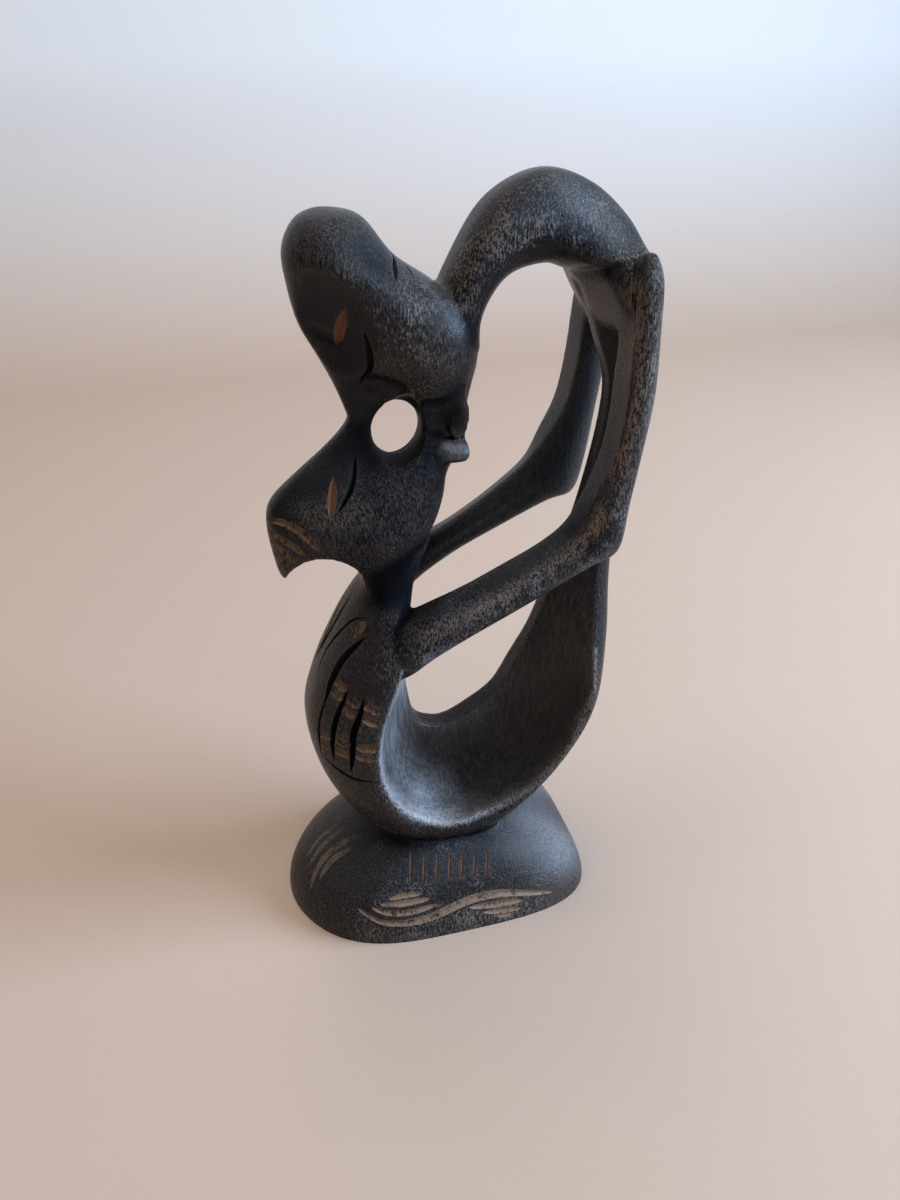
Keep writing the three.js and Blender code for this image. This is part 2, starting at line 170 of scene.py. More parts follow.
def makeSweep():
    deselectAll()
    bpy.ops.mesh.primitive_plane_add(size=1)
    floor = bpy.context.active_object
    floor.name = "studioFloor"
    editAll()
    depth = sweep["back"] - sweep["front"]
    bpy.ops.transform.resize(value=(2 * sweep["half"], depth, 1))
    bpy.ops.transform.translate(value=(0, (sweep["back"] + sweep["front"]) / 2, 0))
    bpy.ops.mesh.select_mode(type="EDGE")
    bpy.ops.mesh.select_all(action="DESELECT")
    objectMode()
    for edge in floor.data.edges:
        ends = [floor.data.vertices[v].co.y for v in edge.vertices]
        edge.select = min(ends) > sweep["back"] - mm
    bpy.ops.object.mode_set(mode="EDIT")
    bpy.ops.mesh.extrude_region_move(TRANSFORM_OT_translate={"value": (0, 0, sweep["wall"])})
    objectMode()
    applyModifier(
        floor, "BEVEL", width=sweep["curve"], segments=sweep["curveSteps"], limit_method="ANGLE"
    )
    bpy.ops.object.shade_smooth()
    floor.data.materials.append(floorMaterial())


def newMaterial(name):
    material = bpy.data.materials.new(name)
    material.use_nodes = True
    tree = material.node_tree
    return material, tree, tree.nodes["Principled BSDF"]


def feed(tree, node, inputs):
    # inputs go by name or number; a socket is linked and a value set
    for name, value in inputs.items():
        if isinstance(value, bpy.types.NodeSocket):
            tree.links.new(value, node.inputs[name])
        else:
            node.inputs[name].default_value = value


def addNode(tree, kind, inputs=None, **settings):
    node = tree.nodes.new(kind)
    for name, value in settings.items():
        setattr(node, name, value)
    feed(tree, node, inputs or {})
    return node


def floorMaterial():
    material, tree, shader = newMaterial("paleFloor")
    where = addNode(tree, "ShaderNodeTexCoord").outputs["Object"]
    place = addNode(tree, "ShaderNodeSeparateXYZ", {"Vector": where})
    climb = addNode(tree, "ShaderNodeMapRange", {
        "Value": place.outputs["Z"], "From Min": 0.0, "From Max": sweep["climb"],
    })
    tone = blend(tree, climb.outputs["Result"], sweep["colour"], sweep["wallColour"])
    feed(tree, shader, {"Base Color": tone, "Roughness": sweep["rough"]})
    return material


# The limbs of the block. Each is drawn through a few sections across its depth, in millimetres.
# Columns: outer x, outer z, inner x, inner z, half width, place of the widest ridge from the outer
# edge, bulge of the outer side, bulge of the inner side, half width of the flat at the outer edge,
# the same at the inner edge; for an arm also the distance of its middle from Y = 0 and its skew.
bodies = {
    "rings": 110,
    "steps": 12,
    # from the lower neck round the ring, up the spine and over the arch to the upper neck
    "sections": [
        (-19, 140, 3, 146, 11, 0.5, 1, 1, 2, 2),
        (-21, 129.5, -3.3, 132, 13, 0.5, 1, 1, 2, 2),
        (-25, 122.5, -5.4, 123, 19, 0.6, 1, 0.8, 2, 2),
        (-31, 113, -7.2, 113, 24, 0.78, 1, 0.4, 2, 2),
        (-39, 97, -8, 96, 25, 0.73, 1, 0, 2, 2.5),
        (-43.4, 78, -7.4, 84, 25.5, 0.63, 1, -0.55, 2, 3),
        (-36.4, 50.5, -4.6, 72.5, 26, 0.49, 1, -0.75, 2, 4),
        (-17, 27.5, 1.5, 68.8, 25.5, 0.4, 1, -0.8, 2, 4),
        (12, 21, 7, 68.8, 24.5, 0.38, 1, -0.8, 2, 4),
        (31.6, 32.3, 14, 72.2, 25.5, 0.31, 0.8, -0.75, 2, 4),
        (47.6, 54.4, 24.3, 79.3, 26, 0.24, 0.7, -0.6, 2, 4),
        (60, 78, 31, 90.5, 25, 0.26, 0.8, -0.4, 2, 4),
        (63.6, 101.5, 38, 104, 19, 0.38, 1, 0, 2, 3),
        (64, 124, 45, 124, 12, 0.4, 1, 0.4, 2, 2),
        (65.5, 150, 53.5, 150, 7.5, 0.5, 1, 0.5, 2, 2),
        (67.5, 184, 59.6, 184, 6.5, 0.45, 1, 0.3, 2, 2.5),
        (68.5, 206, 55, 202, 10, 0.5, 1, 0.2, 2, 2.5),
        (68, 222, 49.5, 216.5, 24, 0.35, 0.9, -0.1, 2, 3),
        (63.9, 230, 46.5, 220, 22, 0.42, 1, -0.1, 2, 3),
        (60.5, 236.5, 44, 222.5, 19, 0.76, 1, 0.1, 2, 4),
        (50, 245.2, 41, 223.5, 15, 0.82, 1, 0.4, 2, 4),
        (36, 249, 36, 224.7, 13, 0.68, 1, 0.8, 2, 3),
        (20.6, 242, 25.4, 221.4, 12, 0.5, 1, 1, 2, 2),
        (9.8, 226, 18.3, 211, 11.5, 0.5, 1, 1, 2, 2),
        (3, 212, 18, 200, 11, 0.5, 1, 1, 2, 2),
    ],
}
heads = {
    "rings": 32,
    "lipRings": 12,
    "steps": 9,
    "upper": [
        (-26.5, 241.3, -22.5, 241.3, 1.5, 0.5, 1, 1, 0.5, 0.5),
        (-32, 238.6, -14, 238.8, 10, 0.5, 1, 1, 1, 1),
        (-36, 231.5, -6, 228.7, 15.5, 0.5, 1, 1, 1, 1),
        (-35.6, 222.5, 5.6, 221, 18, 0.55, 0.9, 1, 1, 1),
        (-33.5, 212, 15, 211, 18.5, 0.6, 0.8, 1, 1, 1),
        (-29, 203, 17.6, 201, 17, 0.6, 0.7, 1, 1, 1),
        (-25, 194.5, 15.9, 193, 13, 0.62, 0.5, 0.9, 1, 2),
        (-22.3, 187, 14.2, 186, 8.5, 0.6, 0.4, 0.8, 2, 3),
        (-20.5, 181, 13.8, 180, 6.5, 0.6, 0.4, 0.8, 2, 4),
        (-20, 176, 12, 174, 6.5, 0.6, 0.4, 0.8, 2, 4),
    ],
    "lower": [
        (-20.5, 187, 14, 185, 6.5, 0.6, 0.5, 0.8, 2, 4),
        (-22.5, 182, 13.8, 179, 6.5, 0.6, 0.5, 0.8, 2, 4),
        (-28.7, 176, 12.6, 173, 8.8, 0.6, 0.5, 0.9, 1, 3),
        (-39, 167.5, 8, 166, 14, 0.6, 0.6, 1, 1, 2),
        (-47, 160, 6.6, 158.5, 16.5, 0.6, 0.7, 1, 1, 2),
        (-48.6, 152.5, 4.2, 151, 17, 0.6, 0.8, 1, 1, 2),
        (-47.8, 143.5, 0.5, 143.5, 15, 0.6, 0.8, 1, 1, 2),
        (-46.3, 135.5, -3, 135, 11, 0.6, 0.8, 1, 1, 2),
        (-44.2, 132, -5, 128.5, 9, 0.6, 0.8, 1, 1, 2),
    ],
    # concave facets that plane each cheek: place, facing, ball radius, bite
    "facets": [
        ((-21, 8.5, 203), (-0.56, 0.8, -0.12), 60, -0.3),
        ((-31.5, 8.5, 168), (-0.42, 0.78, 0.46), 60, 0),
    ],
    # holes and sawn arcs through the depth: x, z, half width, half height
    "throat": (-32.8, 131.4, 11.8, 13),
    "eyeHole": (-7.7, 180.2, 7.5, 8.8),
    # the hole opens out on the near and the far side: side, from this depth to that, to so many
    # times its size, rising by so much
    "eyeFlares": [(1, 4, 16, 1.28, 2.5), (-1, 1, 16, 1.41, -2)],
    # the upper lip: x, z, half width, half height, depth
    "upperLip": (10, 184.4, 3.4, 7.2, 18),
    # the lower lip widens downwards, so that its top slopes outwards as a ledge
    "lowerLip": [
        (5, 177.2, 12.4, 177, 5.6, 0.5, 0.4, 0.4, 5, 5.4),
        (4.2, 175.2, 13.4, 174.8, 8, 0.5, 0.4, 0.4, 7.4, 7.8),
        (3.8, 172.2, 13.6, 171.8, 10, 0.5, 0.4, 0.4, 9.2, 9.6),
        (3.2, 169.6, 12, 169.2, 9, 0.5, 0.4, 0.4, 8, 8.2),
    ],
}
arms = {
    "rings": 52,
    "webRings": 8,
    "steps": 6,
    "sections": [
        (61.5, 229.2, 59, 228.8, 2.5, 0.5, 1, 1, 1, 1, 21.5, 0),
        (63.8, 222, 56.4, 222, 7, 0.5, 1, 0.8, 2, 5.5, 21, 0),
        (64.7, 208, 56, 208, 8, 0.5, 1, 0.8, 2, 6, 20, 0),
        (64.9, 190, 55.6, 190, 8, 0.5, 1, 0.8, 2, 6, 20, 0),
        (62.5, 172, 53.6, 174, 8, 0.5, 1, 0.8, 2, 5.5, 20, 0),
        (60.3, 156, 48.2, 160.5, 8, 0.5, 1, 0.8, 2, 4, 20, 0),
        (57, 142, 43, 150, 8, 0.5, 1, 0.6, 3, 3, 20, -0.2),
        (48, 137.4, 35, 143.2, 7.5, 0.55, 0.7, 0.5, 3.5, 3, 20, -0.3),
        (30, 128.5, 23, 136.9, 7.5, 0.55, 0.7, 0.5, 3.5, 3, 20, -0.3),
        (12, 119.7, 10, 130.9, 7.5, 0.55, 0.7, 0.5, 3.5, 3, 20, -0.3),
        (-2, 110.8, -2, 127, 7.5, 0.55, 0.7, 0.5, 3.5, 3, 19, -0.2),
        (-12, 102.5, -12, 122, 7.5, 0.55, 0.8, 0.7, 3.5, 3, 17, 0),
        (-22, 103, -20, 115, 5.5, 0.55, 1, 1, 3.5, 3, 14, 0),
    ],
    # a web closes the corner between each arm and the spine under the shoulder
    "web": [
        (57.5, 229, 47, 223.5, 9, 0.5, 1, 1, 5, 7, 12, -0.2),
        (60.5, 222, 50, 217.5, 11, 0.5, 1, 1, 6, 9, 12, -0.2),
        (62, 214, 53, 212, 11.5, 0.5, 1, 1, 6, 9, 12, -0.2),
        (62.5, 208, 56, 207.5, 10, 0.5, 1, 1, 5, 7, 12.5, -0.2),
        (63.5, 203, 60, 204, 6, 0.5, 1, 1, 3, 4, 13, 0),
    ],
    # how the far arm differs, with the sections over which a difference comes or goes
    "farLift": (5.1, (4, 8)),                  # its forearm runs higher
    "farWeb": (5, (2, 6), (6, 9), 0.4),        # its elbow is fuller above, and by a share below
    "farOut": 1.2,                             # its outer edge is further out
    "farSlim": (3, -0.2, (0, 4), (5, 7)),      # it is slimmer, at the shoulder and at the elbow
}
mound = {
    "left": -56.6, "right": 57, "halfDepth": 38.7, "height": 33.5,
    "rings": 14, "around": 64,
    "top": 86.0,                     # degrees of the climb at which the top is closed
    "skirt": 3,                      # depth under the floor, cut off later
    "corners": (2.1, 4.2),           # higher is squarer, at the left and at the right
    "rounding": (1.36, 0.8),         # lower is fuller towards the top, at the ends and the sides
}
form = {
    "levels": 2,         # subdivision of each limb
    "voxel": 0.6,
    "rubs": 6,           # smoothing passes
    "triangles": 150000,
    "easing": 70,        # further smoothing passes around the joints
    "easingSteps": 10,   # grades of that smoothing from a joint's middle outwards
    "easingCore": 1.6,   # higher keeps more of a joint fully eased
    "soften": 0.5,       # strength of every smoothing pass
    "crease": 38,        # degrees past which an edge stays sharp
    "barSides": 72,      # fineness of the tools that cut holes and facets
    "ball": (96, 64),
    # joints that the carver rounded off: place on the near side, reach
    "joints": [
        ((56, -14, 214), 16), ((61, -13, 204), 10), ((-12, -12, 137), 13), ((-2, -12, 128), 11),
        ((0, -15, 120), 11), ((-16, -9, 143), 9), ((4, -8, 214), 8), ((-8, -9, 167), 8),
        ((55, -14, 226), 9), ((-12, -24, 33), 12), ((20, -24, 33), 12),
        ((-44.5, -5, 132), 7), ((4.5, -9, 171), 4), ((8.5, -9.5, 185), 5), ((8.5, -9, 191), 6),
    ],
    # shallow hollows planed before the smoothing, drawn like the gouge cuts below
    "hollows": [
        # points, half width, depth
        ([(-18, 196.5), (-12, 195.2), (-7, 192.4), (-3, 188.6), (3, 187), (10, 186.6)], 3.4, 1.5),
        ([(-30.5, 211.8), (-27, 209.6), (-22.5, 207.6)], 1.5, 0.6),
    ],
    "flat": 0.3,         # points this close to the floor are pressed flat on it
}


def curvePoint(four, t):
    # between the second and the third of four places, on a Catmull-Rom curve
    a, b, c, d = four
    return 0.5 * (2 * b + (c - a) * t + (2 * a - 5 * b + 4 * c - d) * t ** 2
                  + (3 * b - a - 3 * c + d) * t ** 3)


def smoothRows(rows, count):
    # even steps along a curve through the rows
    rows = np.array(rows, float)
    padded = np.vstack([2 * rows[0] - rows[1], rows, 2 * rows[-1] - rows[-2]])
    made = []
    for place in np.linspace(0, len(rows) - 1, count):
        i = min(int(place), len(rows) - 2)
        made.append(curvePoint(padded[i:i + 4], place - i))
    return made


def rise(x, bulge):
    full = math.sqrt(max(0, 1 - (1 - x) ** 2))
    scooped = 1 - math.sqrt(max(0, 1 - x ** 2))
    return x + (full - x) * bulge if bulge > 0 else x + (scooped - x) * -bulge


def sectionRing(row, side, steps):
    ox, oz, ix, iz, width, ridge, bulgeOut, bulgeIn, flatOut, flatIn, *aside = row
    middle, skew = aside or (0, 0)
    span = math.hypot(ix - ox, iz - oz)
    half = []
    for k in range(steps + 1):
        x = 1 - math.cos(k / steps * math.pi / 2)
        half.append((ridge * x, flatOut + (width - flatOut) * rise(x, bulgeOut)))
    for k in range(1, steps + 1):
        x = 1 - math.sin(k / steps * math.pi / 2)
        half.append((1 - (1 - ridge) * x, flatIn + (width - flatIn) * rise(x, bulgeIn)))

    def point(along, y):
        place = along - skew * y / span
        return Vector((ox + (ix - ox) * place, side * (y - middle), oz + (iz - oz) * place)) * mm

    near = [point(along, -h) for along, h in half]
    far = [point(along, h) for along, h in half]
    return near + far[::-1]


def limb(name, rings):
    # a disc extruded from ring to ring, then rounded by subdivision
    deselectAll()
    around = len(rings[0])
    bpy.ops.mesh.primitive_circle_add(vertices=around, radius=mm, fill_type="NGON")
    piece = bpy.context.active_object
    piece.name = name
    editAll()
    order = list(range(around))
    for i, ring in enumerate(rings):
        if i:
            bpy.ops.mesh.extrude_region_move()
        mesh = bmesh.from_edit_mesh(piece.data)
        mesh.verts.ensure_lookup_table()
        if i:
            order = [
                next(e.other_vert(mesh.verts[v]).index for e in mesh.verts[v].link_edges
                     if e.other_vert(mesh.verts[v]).select)
                for v in order
            ]
        for v, place in zip(order, ring):
            mesh.verts[v].co = place
        bmesh.update_edit_mesh(piece.data)
    faceOutwards()
    selectOnly(piece)
    bpy.ops.object.transform_apply(location=True, rotation=True, scale=True)
    applyModifier(piece, "SUBSURF", levels=form["levels"], render_levels=form["levels"])
    return piece


def loft(name, rows, rings, steps, side=1):
    return limb(name, [sectionRing(row, side, steps) for row in smoothRows(rows, rings)])


def cutAway(piece, tool, operation="DIFFERENCE", **settings):
    applyModifier(
        piece, "BOOLEAN", operation=operation, solver="MANIFOLD", object=tool, **settings
    )
    bpy.data.objects.remove(tool)


def barAlongY(x, z, halfWidth, halfHeight, depth=200.0, flare=1.0, middle=0.0):
    # a round bar through the depth of the block; flare widens its far end
    deselectAll()
    bpy.ops.mesh.primitive_cone_add(
        vertices=form["barSides"], radius1=1, radius2=flare, depth=depth * mm,
        rotation=(math.pi / -2, 0, 0),
    )
    bar = bpy.context.active_object
    bpy.ops.object.transform_apply(location=False, rotation=True, scale=False)
    bar.scale = (halfWidth * mm, 1, halfHeight * mm)
    bar.location = Vector((x, middle, z)) * mm
    bpy.ops.object.transform_apply(location=True, rotation=False, scale=True)
    return bar


def cheekBall(place, facing, radius, bite, side):
    deselectAll()
    out = Vector((facing[0], -side * facing[1], facing[2])).normalized()
    middle = Vector((place[0], -side * place[1], place[2])) + out * (radius - bite)
    segments, rings = form["ball"]
    bpy.ops.mesh.primitive_uv_sphere_add(
        segments=segments, ring_count=rings, radius=radius * mm, location=middle * mm
    )
    return bpy.context.active_object


def makeHeads():
    upper = loft("upperHead", heads["upper"], heads["rings"], heads["steps"])
    lower = loft("lowerHead", heads["lower"], heads["rings"], heads["steps"])
    cutAway(lower, barAlongY(*heads["throat"]))
    cutAway(upper, lower, "UNION")
    for side in (1, -1):
        for facet in heads["facets"]:
            cutAway(upper, cheekBall(*facet, side))
    cutAway(upper, barAlongY(*heads["upperLip"]), "UNION")
    lip = loft("lowerLip", heads["lowerLip"], heads["lipRings"], heads["steps"])
    cutAway(upper, lip, "UNION")
    x, z, halfWidth, halfHeight = heads["eyeHole"]
    cutAway(upper, barAlongY(x, z, halfWidth, halfHeight))
    for side, start, end, spread, lift in heads["eyeFlares"]:
        cone = barAlongY(x, z, halfWidth, halfHeight, end - start, spread, (start + end) / 2)
        lean = Matrix.Identity(4)
        lean[2][1] = lift / (end - start)
        lean[2][3] = -lift * start / (end - start) * mm
        cone.data.transform(lean)
        if side > 0:
            cone = mirrored(cone)
        cutAway(upper, cone)
    return upper


def mirrored(piece):
    selectOnly(piece)
    piece.scale = (1, -1, 1)
    bpy.ops.object.transform_apply(location=False, rotation=False, scale=True)
    faceOutwards()
    return piece


def easeStep(x, low, high):
    return eased(min(1, max(0, (x - low) / (high - low))))


def makeArms():
    far = []
    height, climb = arms["farLift"]
    fuller, come, go, share = arms["farWeb"]
    shoulder, elbow, change, end = arms["farSlim"]
    for i, (ox, oz, ix, iz, *rest) in enumerate(arms["sections"]):
        lift = height * easeStep(i, *climb)
        web = fuller * (easeStep(i, *come) - easeStep(i, *go))
        slim = (shoulder + (elbow - shoulder) * easeStep(i, *change)) * (1 - easeStep(i, *end))
        inner = (ix + slim - share * web, iz + lift + web)
        far.append((ox + arms["farOut"], oz + lift, *inner, *rest))
    made = []
    for name, rows, side in (("nearArm", arms["sections"], 1), ("farArm", far, -1)):
        made.append(loft(name, rows, arms["rings"], arms["steps"], side))
        made.append(loft("shoulderWeb", arms["web"], arms["webRings"], arms["steps"], side))
    return made


def makeMound():
    middle = (mound["left"] + mound["right"]) / 2
    halfLength = (mound["right"] - mound["left"]) / 2
    ends, sides = mound["rounding"]
    rings = []
    for climb in np.radians(np.linspace(0, mound["top"], mound["rings"])):
        ring = []
        for turn in np.linspace(0, 2 * math.pi, mound["around"], endpoint=False):
            c, s = math.cos(turn), math.sin(turn)
            left, right = mound["corners"]
            corner = left + (right - left) * (c + 1) / 2
            r = (abs(c) ** corner + abs(s) ** corner) ** (-1 / corner)
            ring.append(Vector((
                middle + halfLength * math.cos(climb) ** ends * r * c,
                mound["halfDepth"] * math.cos(climb) ** sides * r * s,
                mound["height"] * math.sin(climb),
            )) * mm)
        rings.append(ring)
    rings.insert(0, [p - Vector((0, 0, mound["skirt"] * mm)) for p in rings[0]])
    return limb("mound", rings)


def joined(tools):
    deselectAll()
    for tool in tools:
        tool.select_set(True)
    bpy.context.view_layer.objects.active = tools[0]
    if len(tools) > 1:
        bpy.ops.object.join()
    faceOutwards()
    return tools[0]


def easeJoints(figure):
    # extra smoothing, weighted towards the middle of each joint
    places = readArray(figure.data.vertices, "co", 3) / mm
    places[:, 1] = -np.abs(places[:, 1])
    weight = np.zeros(len(places))
    for middle, reach in form["joints"]:
        away = np.linalg.norm(places - middle, axis=1) / reach
        weight = np.maximum(weight, np.clip(form["easingCore"] * (1 - away), 0, 1))
    group = figure.vertex_groups.new(name="joints")
    steps = form["easingSteps"]
    for level in range(1, steps + 1):
        chosen = (weight > (level - 0.5) / steps) & (weight <= (level + 0.5) / steps)
        group.add(np.nonzero(chosen)[0].tolist(), level / steps, "REPLACE")
    applyModifier(
        figure, "SMOOTH", factor=form["soften"], iterations=form["easing"], vertex_group="joints"
    )
    figure.vertex_groups.clear()


def roughOut():
    body = loft("bodies", bodies["sections"], bodies["rings"], bodies["steps"])
    figure = joined([body, makeHeads(), *makeArms(), makeMound()])
    figure.name = figure.data.name = "carvedCouple"
    applyModifier(figure, "REMESH", mode="VOXEL", voxel_size=form["voxel"] * mm)
    wood = surfaceOf(figure)
    for points, half, depth in form["hollows"]:
        for side in (1, -1):
            found, normals = drape(wood, points, 0, side)
            cutAway(figure, joined([gougeTool("hollow", found, normals, half, depth, 1.0)]))
    applyModifier(figure, "REMESH", mode="VOXEL", voxel_size=form["voxel"] * mm)
    selectOnly(figure)
    editAll()
    bpy.ops.mesh.bisect(
        plane_co=(0, 0, 0), plane_no=(0, 0, 1), clear_inner=True, use_fill=True, threshold=0.01 * mm
    )
    objectMode()
    applyModifier(figure, "SMOOTH", factor=form["soften"], iterations=form["rubs"])
    easeJoints(figure)
    applyModifier(figure, "TRIANGULATE")
    applyModifier(figure, "DECIMATE", ratio=form["triangles"] / len(figure.data.polygons))
    for vertex in figure.data.vertices:
        if vertex.co.z < form["flat"] * mm:
            vertex.co.z = 0
    print("rough form", len(figure.data.polygons), "triangles")
    return figure


# Gouge cuts. Each line is drawn in a side view and dropped on the wood. turn is the view's
# direction about Z: 0 looks square at the near side, 45 from the heads' end. Points are across
# and height in that view, in millimetres; then the cut's half width and its depth.
carving = {
    "gap": 0.7,        # millimetres between two places on a cut
    "fewest": 6,       # steps along the shortest cut
    "fine": 24,        # trial steps between two points of a line
    "clear": 2.2,      # the tool stands this far out of the wood
    "tip": 0.15,       # a cut's end beside its middle
    "edge": 1e-6,      # metres that keep the two sides of a sharp floor apart
    # parts of a cut's width or depth, and what blunt adds to each
    "swell": (0.6, -0.35),
    "shoulder": (0.35, 0.3),
    "shoulderDepth": (0.65, 0.2),
    "floor": (0, 0.3),
    "tipBlunt": 0.5,
    "reach": 100.0,    # a line is dropped from this far away
    "steady": 2,       # places to either side that a cut's outward direction is averaged over
    "cuts": [
        # name, wood, turn, both sides, blunt, lines
        ("eyes", "bareWood", 0, True, 0.0, [
            ([(-21.6, 217.2), (-22.8, 212), (-24.0, 206.4)], 1.6, 0.9),
            ([(-27.8, 168.9), (-29.1, 163.6), (-30.4, 158.4)], 1.45, 0.9),
        ]),
        ("cheekCrescents", "blackCut", 0, True, 0.1, [
            ([(-17.1, 211.5), (-15.8, 205), (-16.2, 200), (-18.3, 196)], 1.1, 1.3),
            ([(-20.7, 174), (-22, 169.3), (-24.1, 165), (-27.8, 160)], 0.9, 1.1),
        ]),
        ("hairStripes", "wornWood", 0, True, 0.5, [
            ([(-48.3, 155.4), (-44.1, 156.2), (-38.9, 153.6), (-34.2, 147.8)], 1.15, 0.8),
            ([(-48.4, 151.8), (-44.7, 150.7), (-38.4, 145.9)], 1.1, 0.7),
            ([(-48.2, 148.2), (-45.1, 146.5), (-41, 142.2)], 1.0, 0.6),
            ([(-47.4, 144.6), (-45.4, 142.7), (-42.6, 139.9)], 0.9, 0.6),
            ([(-46.5, 140.2), (-45.6, 138.8), (-44.4, 137.2)], 0.8, 0.5),
        ]),
        ("hairNotches", "blackCut", 0, False, 0.0, [
            ([(-6.6, 229.2), (-7.6, 227.2), (-8.4, 224.4)], 0.75, 1.1),
            ([(-4.8, 227.1), (-3.3, 225.9), (-2.5, 223.8)], 0.42, 0.7),
        ]),
        ("lipSlot", "blackCut", 0, True, 0.0, [
            ([(6.4, 177.1), (9.6, 177), (14.5, 176.6)], 0.6, 2.6),
        ]),
        ("thumbNail", "wornWood", 45, True, 0.6, [
            ([(-9.2, 116.4), (-5.9, 121.8)], 1.5, 0.6),
        ]),
        ("upperKnuckles", "wornWood", 45, True, 0.7, [
            ([(-13.4, 101.6), (-8.1, 100.2)], 1.35, 0.95),
            ([(-8.3, 97.4), (-3.3, 96.0)], 1.35, 0.95),
            ([(-1.8, 95.9), (3.2, 93.9)], 1.35, 0.95),
        ]),
        ("middleKnuckles", "wornWood", 45, True, 0.7, [
            ([(-14.2, 98.2), (-9.5, 96.7)], 1.3, 0.9),
            ([(-9.3, 94.0), (-4.3, 92.0)], 1.3, 0.9),
            ([(-2.4, 91.9), (2.6, 89.2)], 1.3, 0.9),
        ]),
        ("lowerKnuckles", "wornWood", 45, True, 0.7, [
            ([(-18.8, 80.8), (-13.5, 81.7)], 1.25, 0.9),
            ([(-11.5, 82.0), (-6.0, 81.1)], 1.35, 0.9),
            ([(-4.1, 80.8), (2.0, 79.5)], 1.35, 0.9),
        ]),
        ("lowestKnuckles", "wornWood", 45, True, 0.7, [
            ([(-18.6, 76.9), (-13.8, 77.7)], 1.2, 0.85),
            ([(-11.7, 77.6), (-6.5, 76.6)], 1.3, 0.85),
            ([(-4.3, 77.1), (1.4, 75.8)], 1.3, 0.85),
        ]),
        ("foremostGroove", "blackCut", 45, False, 0.25, [
            ([(-18, 124.3), (-21.6, 115.8), (-25.4, 107.5), (-28.3, 101.2)], 0.85, 1.2),
        ]),
        ("fingerGrooves", "blackCut", 45, True, 0.25, [
            ([(-4.7, 117.6), (-11.3, 109.6), (-15.1, 101.1), (-16.9, 93)], 1.35, 2.2),
            ([(-7.8, 100.2), (-9.8, 94.3), (-11.6, 88), (-12.7, 80), (-12.6, 72.6)], 1.05, 1.9),
            ([(-2.0, 98.6), (-3.2, 92), (-4.8, 86), (-5.3, 78), (-6.3, 70)], 1.15, 1.9),
        ]),
        ("fingerEdges", "blackCut", 45, True, 0.1, [
            ([(-16.4, 95), (-18.6, 86), (-19.1, 78), (-19.2, 71.8)], 0.7, 1.1),
            ([(-5.8, 123), (-12, 120), (-19, 111.8), (-23, 104.6), (-23.7, 98.6)], 0.65, 1.0),
        ]),
        ("fingerTips", "blackCut", 45, True, 0.0, [
            ([(-19.3, 72), (-13.3, 69.6), (-6, 67.1), (2, 66.2)], 0.7, 0.9),
        ]),
        ("moundEndMarks", "dimCut", 45, False, 0.4, [
            ([(-27.7, 23.2), (-32.3, 18.9), (-33.8, 14.4)], 0.8, 0.5),
            ([(-24.2, 24.2), (-28.8, 19.3), (-30.4, 13.8)], 0.9, 0.6),
            ([(-16.2, 25.8), (-22.5, 21.5), (-25.4, 16.7), (-25.2, 10.6)], 1.15, 0.7),
        ]),
        ("moundEndMarkLast", "dimCut", 45, False, 0.4, [
            ([(-15.6, 23.9), (-20.3, 20.3), (-21.9, 17.2), (-22.5, 14.8)], 1.1, 0.7),
        ]),
        ("moundWave", "fadedCut", 0, False, 0.4, [
            ([(-34, 13), (-25.5, 9.2), (-15, 8.8), (-6.5, 10), (3, 12.4), (11, 13.2), (21, 12),
              (38, 6.8)], 1.5, 0.8),
            ([(-23, 16.9), (-17.5, 18), (-11, 18)], 0.9, 0.6),
        ]),
        ("moundCrests", "fadedCut", 0, False, 0.5, [
            ([(-26, 15.3), (-18.8, 15.6), (-8.6, 16.1)], 1.0, 0.6),
            ([(5.6, 10.1), (14.9, 9.1), (25.6, 8)], 1.25, 0.7),
        ]),
        ("moundRipples", "fadedCut", 0, False, 0.5, [
            ([(-29.2, 14.1), (-24, 12.7), (-15.8, 12.5), (-6, 13.7)], 1.0, 0.6),
            ([(10.6, 6.9), (18.2, 5.7), (25.4, 4.8)], 1.1, 0.6),
        ]),
        ("moundFlecks", "fadedCut", 0, False, 0.6, [
            ([(15.6, 3.9), (21.8, 3.0)], 0.7, 0.4),
        ]),
    ],
    # a row of slanted strokes on the front of the mound
    "strokes": {
        "count": 7, "x": -15, "pitch": 4.6, "slant": 2.6, "low": 20.8, "high": 28.2, "drop": 0.35,
        "half": 0.5, "depth": 0.5,
    },
}


def smoothLine(points, gap):
    # a curve through the points, walked in even steps
    points = np.array(points, float)
    padded = np.vstack([points[0], points, points[-1]])
    dense = []
    for i in range(len(points) - 1):
        for t in np.linspace(0, 1, carving["fine"], endpoint=False):
            dense.append(curvePoint(padded[i:i + 4], t))
    dense = np.array(dense + [points[-1]])
    lengths = np.append(0, np.cumsum(np.linalg.norm(np.diff(dense, axis=0), axis=1)))
    count = max(carving["fewest"], math.ceil(lengths[-1] / gap))
    places = np.linspace(0, lengths[-1], count + 1)
    return np.stack([np.interp(places, lengths, dense[:, k]) for k in (0, 1)], axis=1)


def drape(wood, points, turn, side):
    # drops a line drawn in a side view on the wood; returns points and outward normals
    angle = math.radians(turn)
    look = Vector((math.sin(angle), side * math.cos(angle), 0))
    right = Vector((math.cos(angle), -side * math.sin(angle), 0))
    found, normals = [], []
    for across, z in smoothLine(points, carving["gap"]):
        start = (right * across - look * carving["reach"]) * mm
        start.z = z * mm
        hit, normal, _, _ = wood.ray_cast(start, look)
        if hit is not None:
            found.append(hit)
            normals.append(normal)
    return found, normals


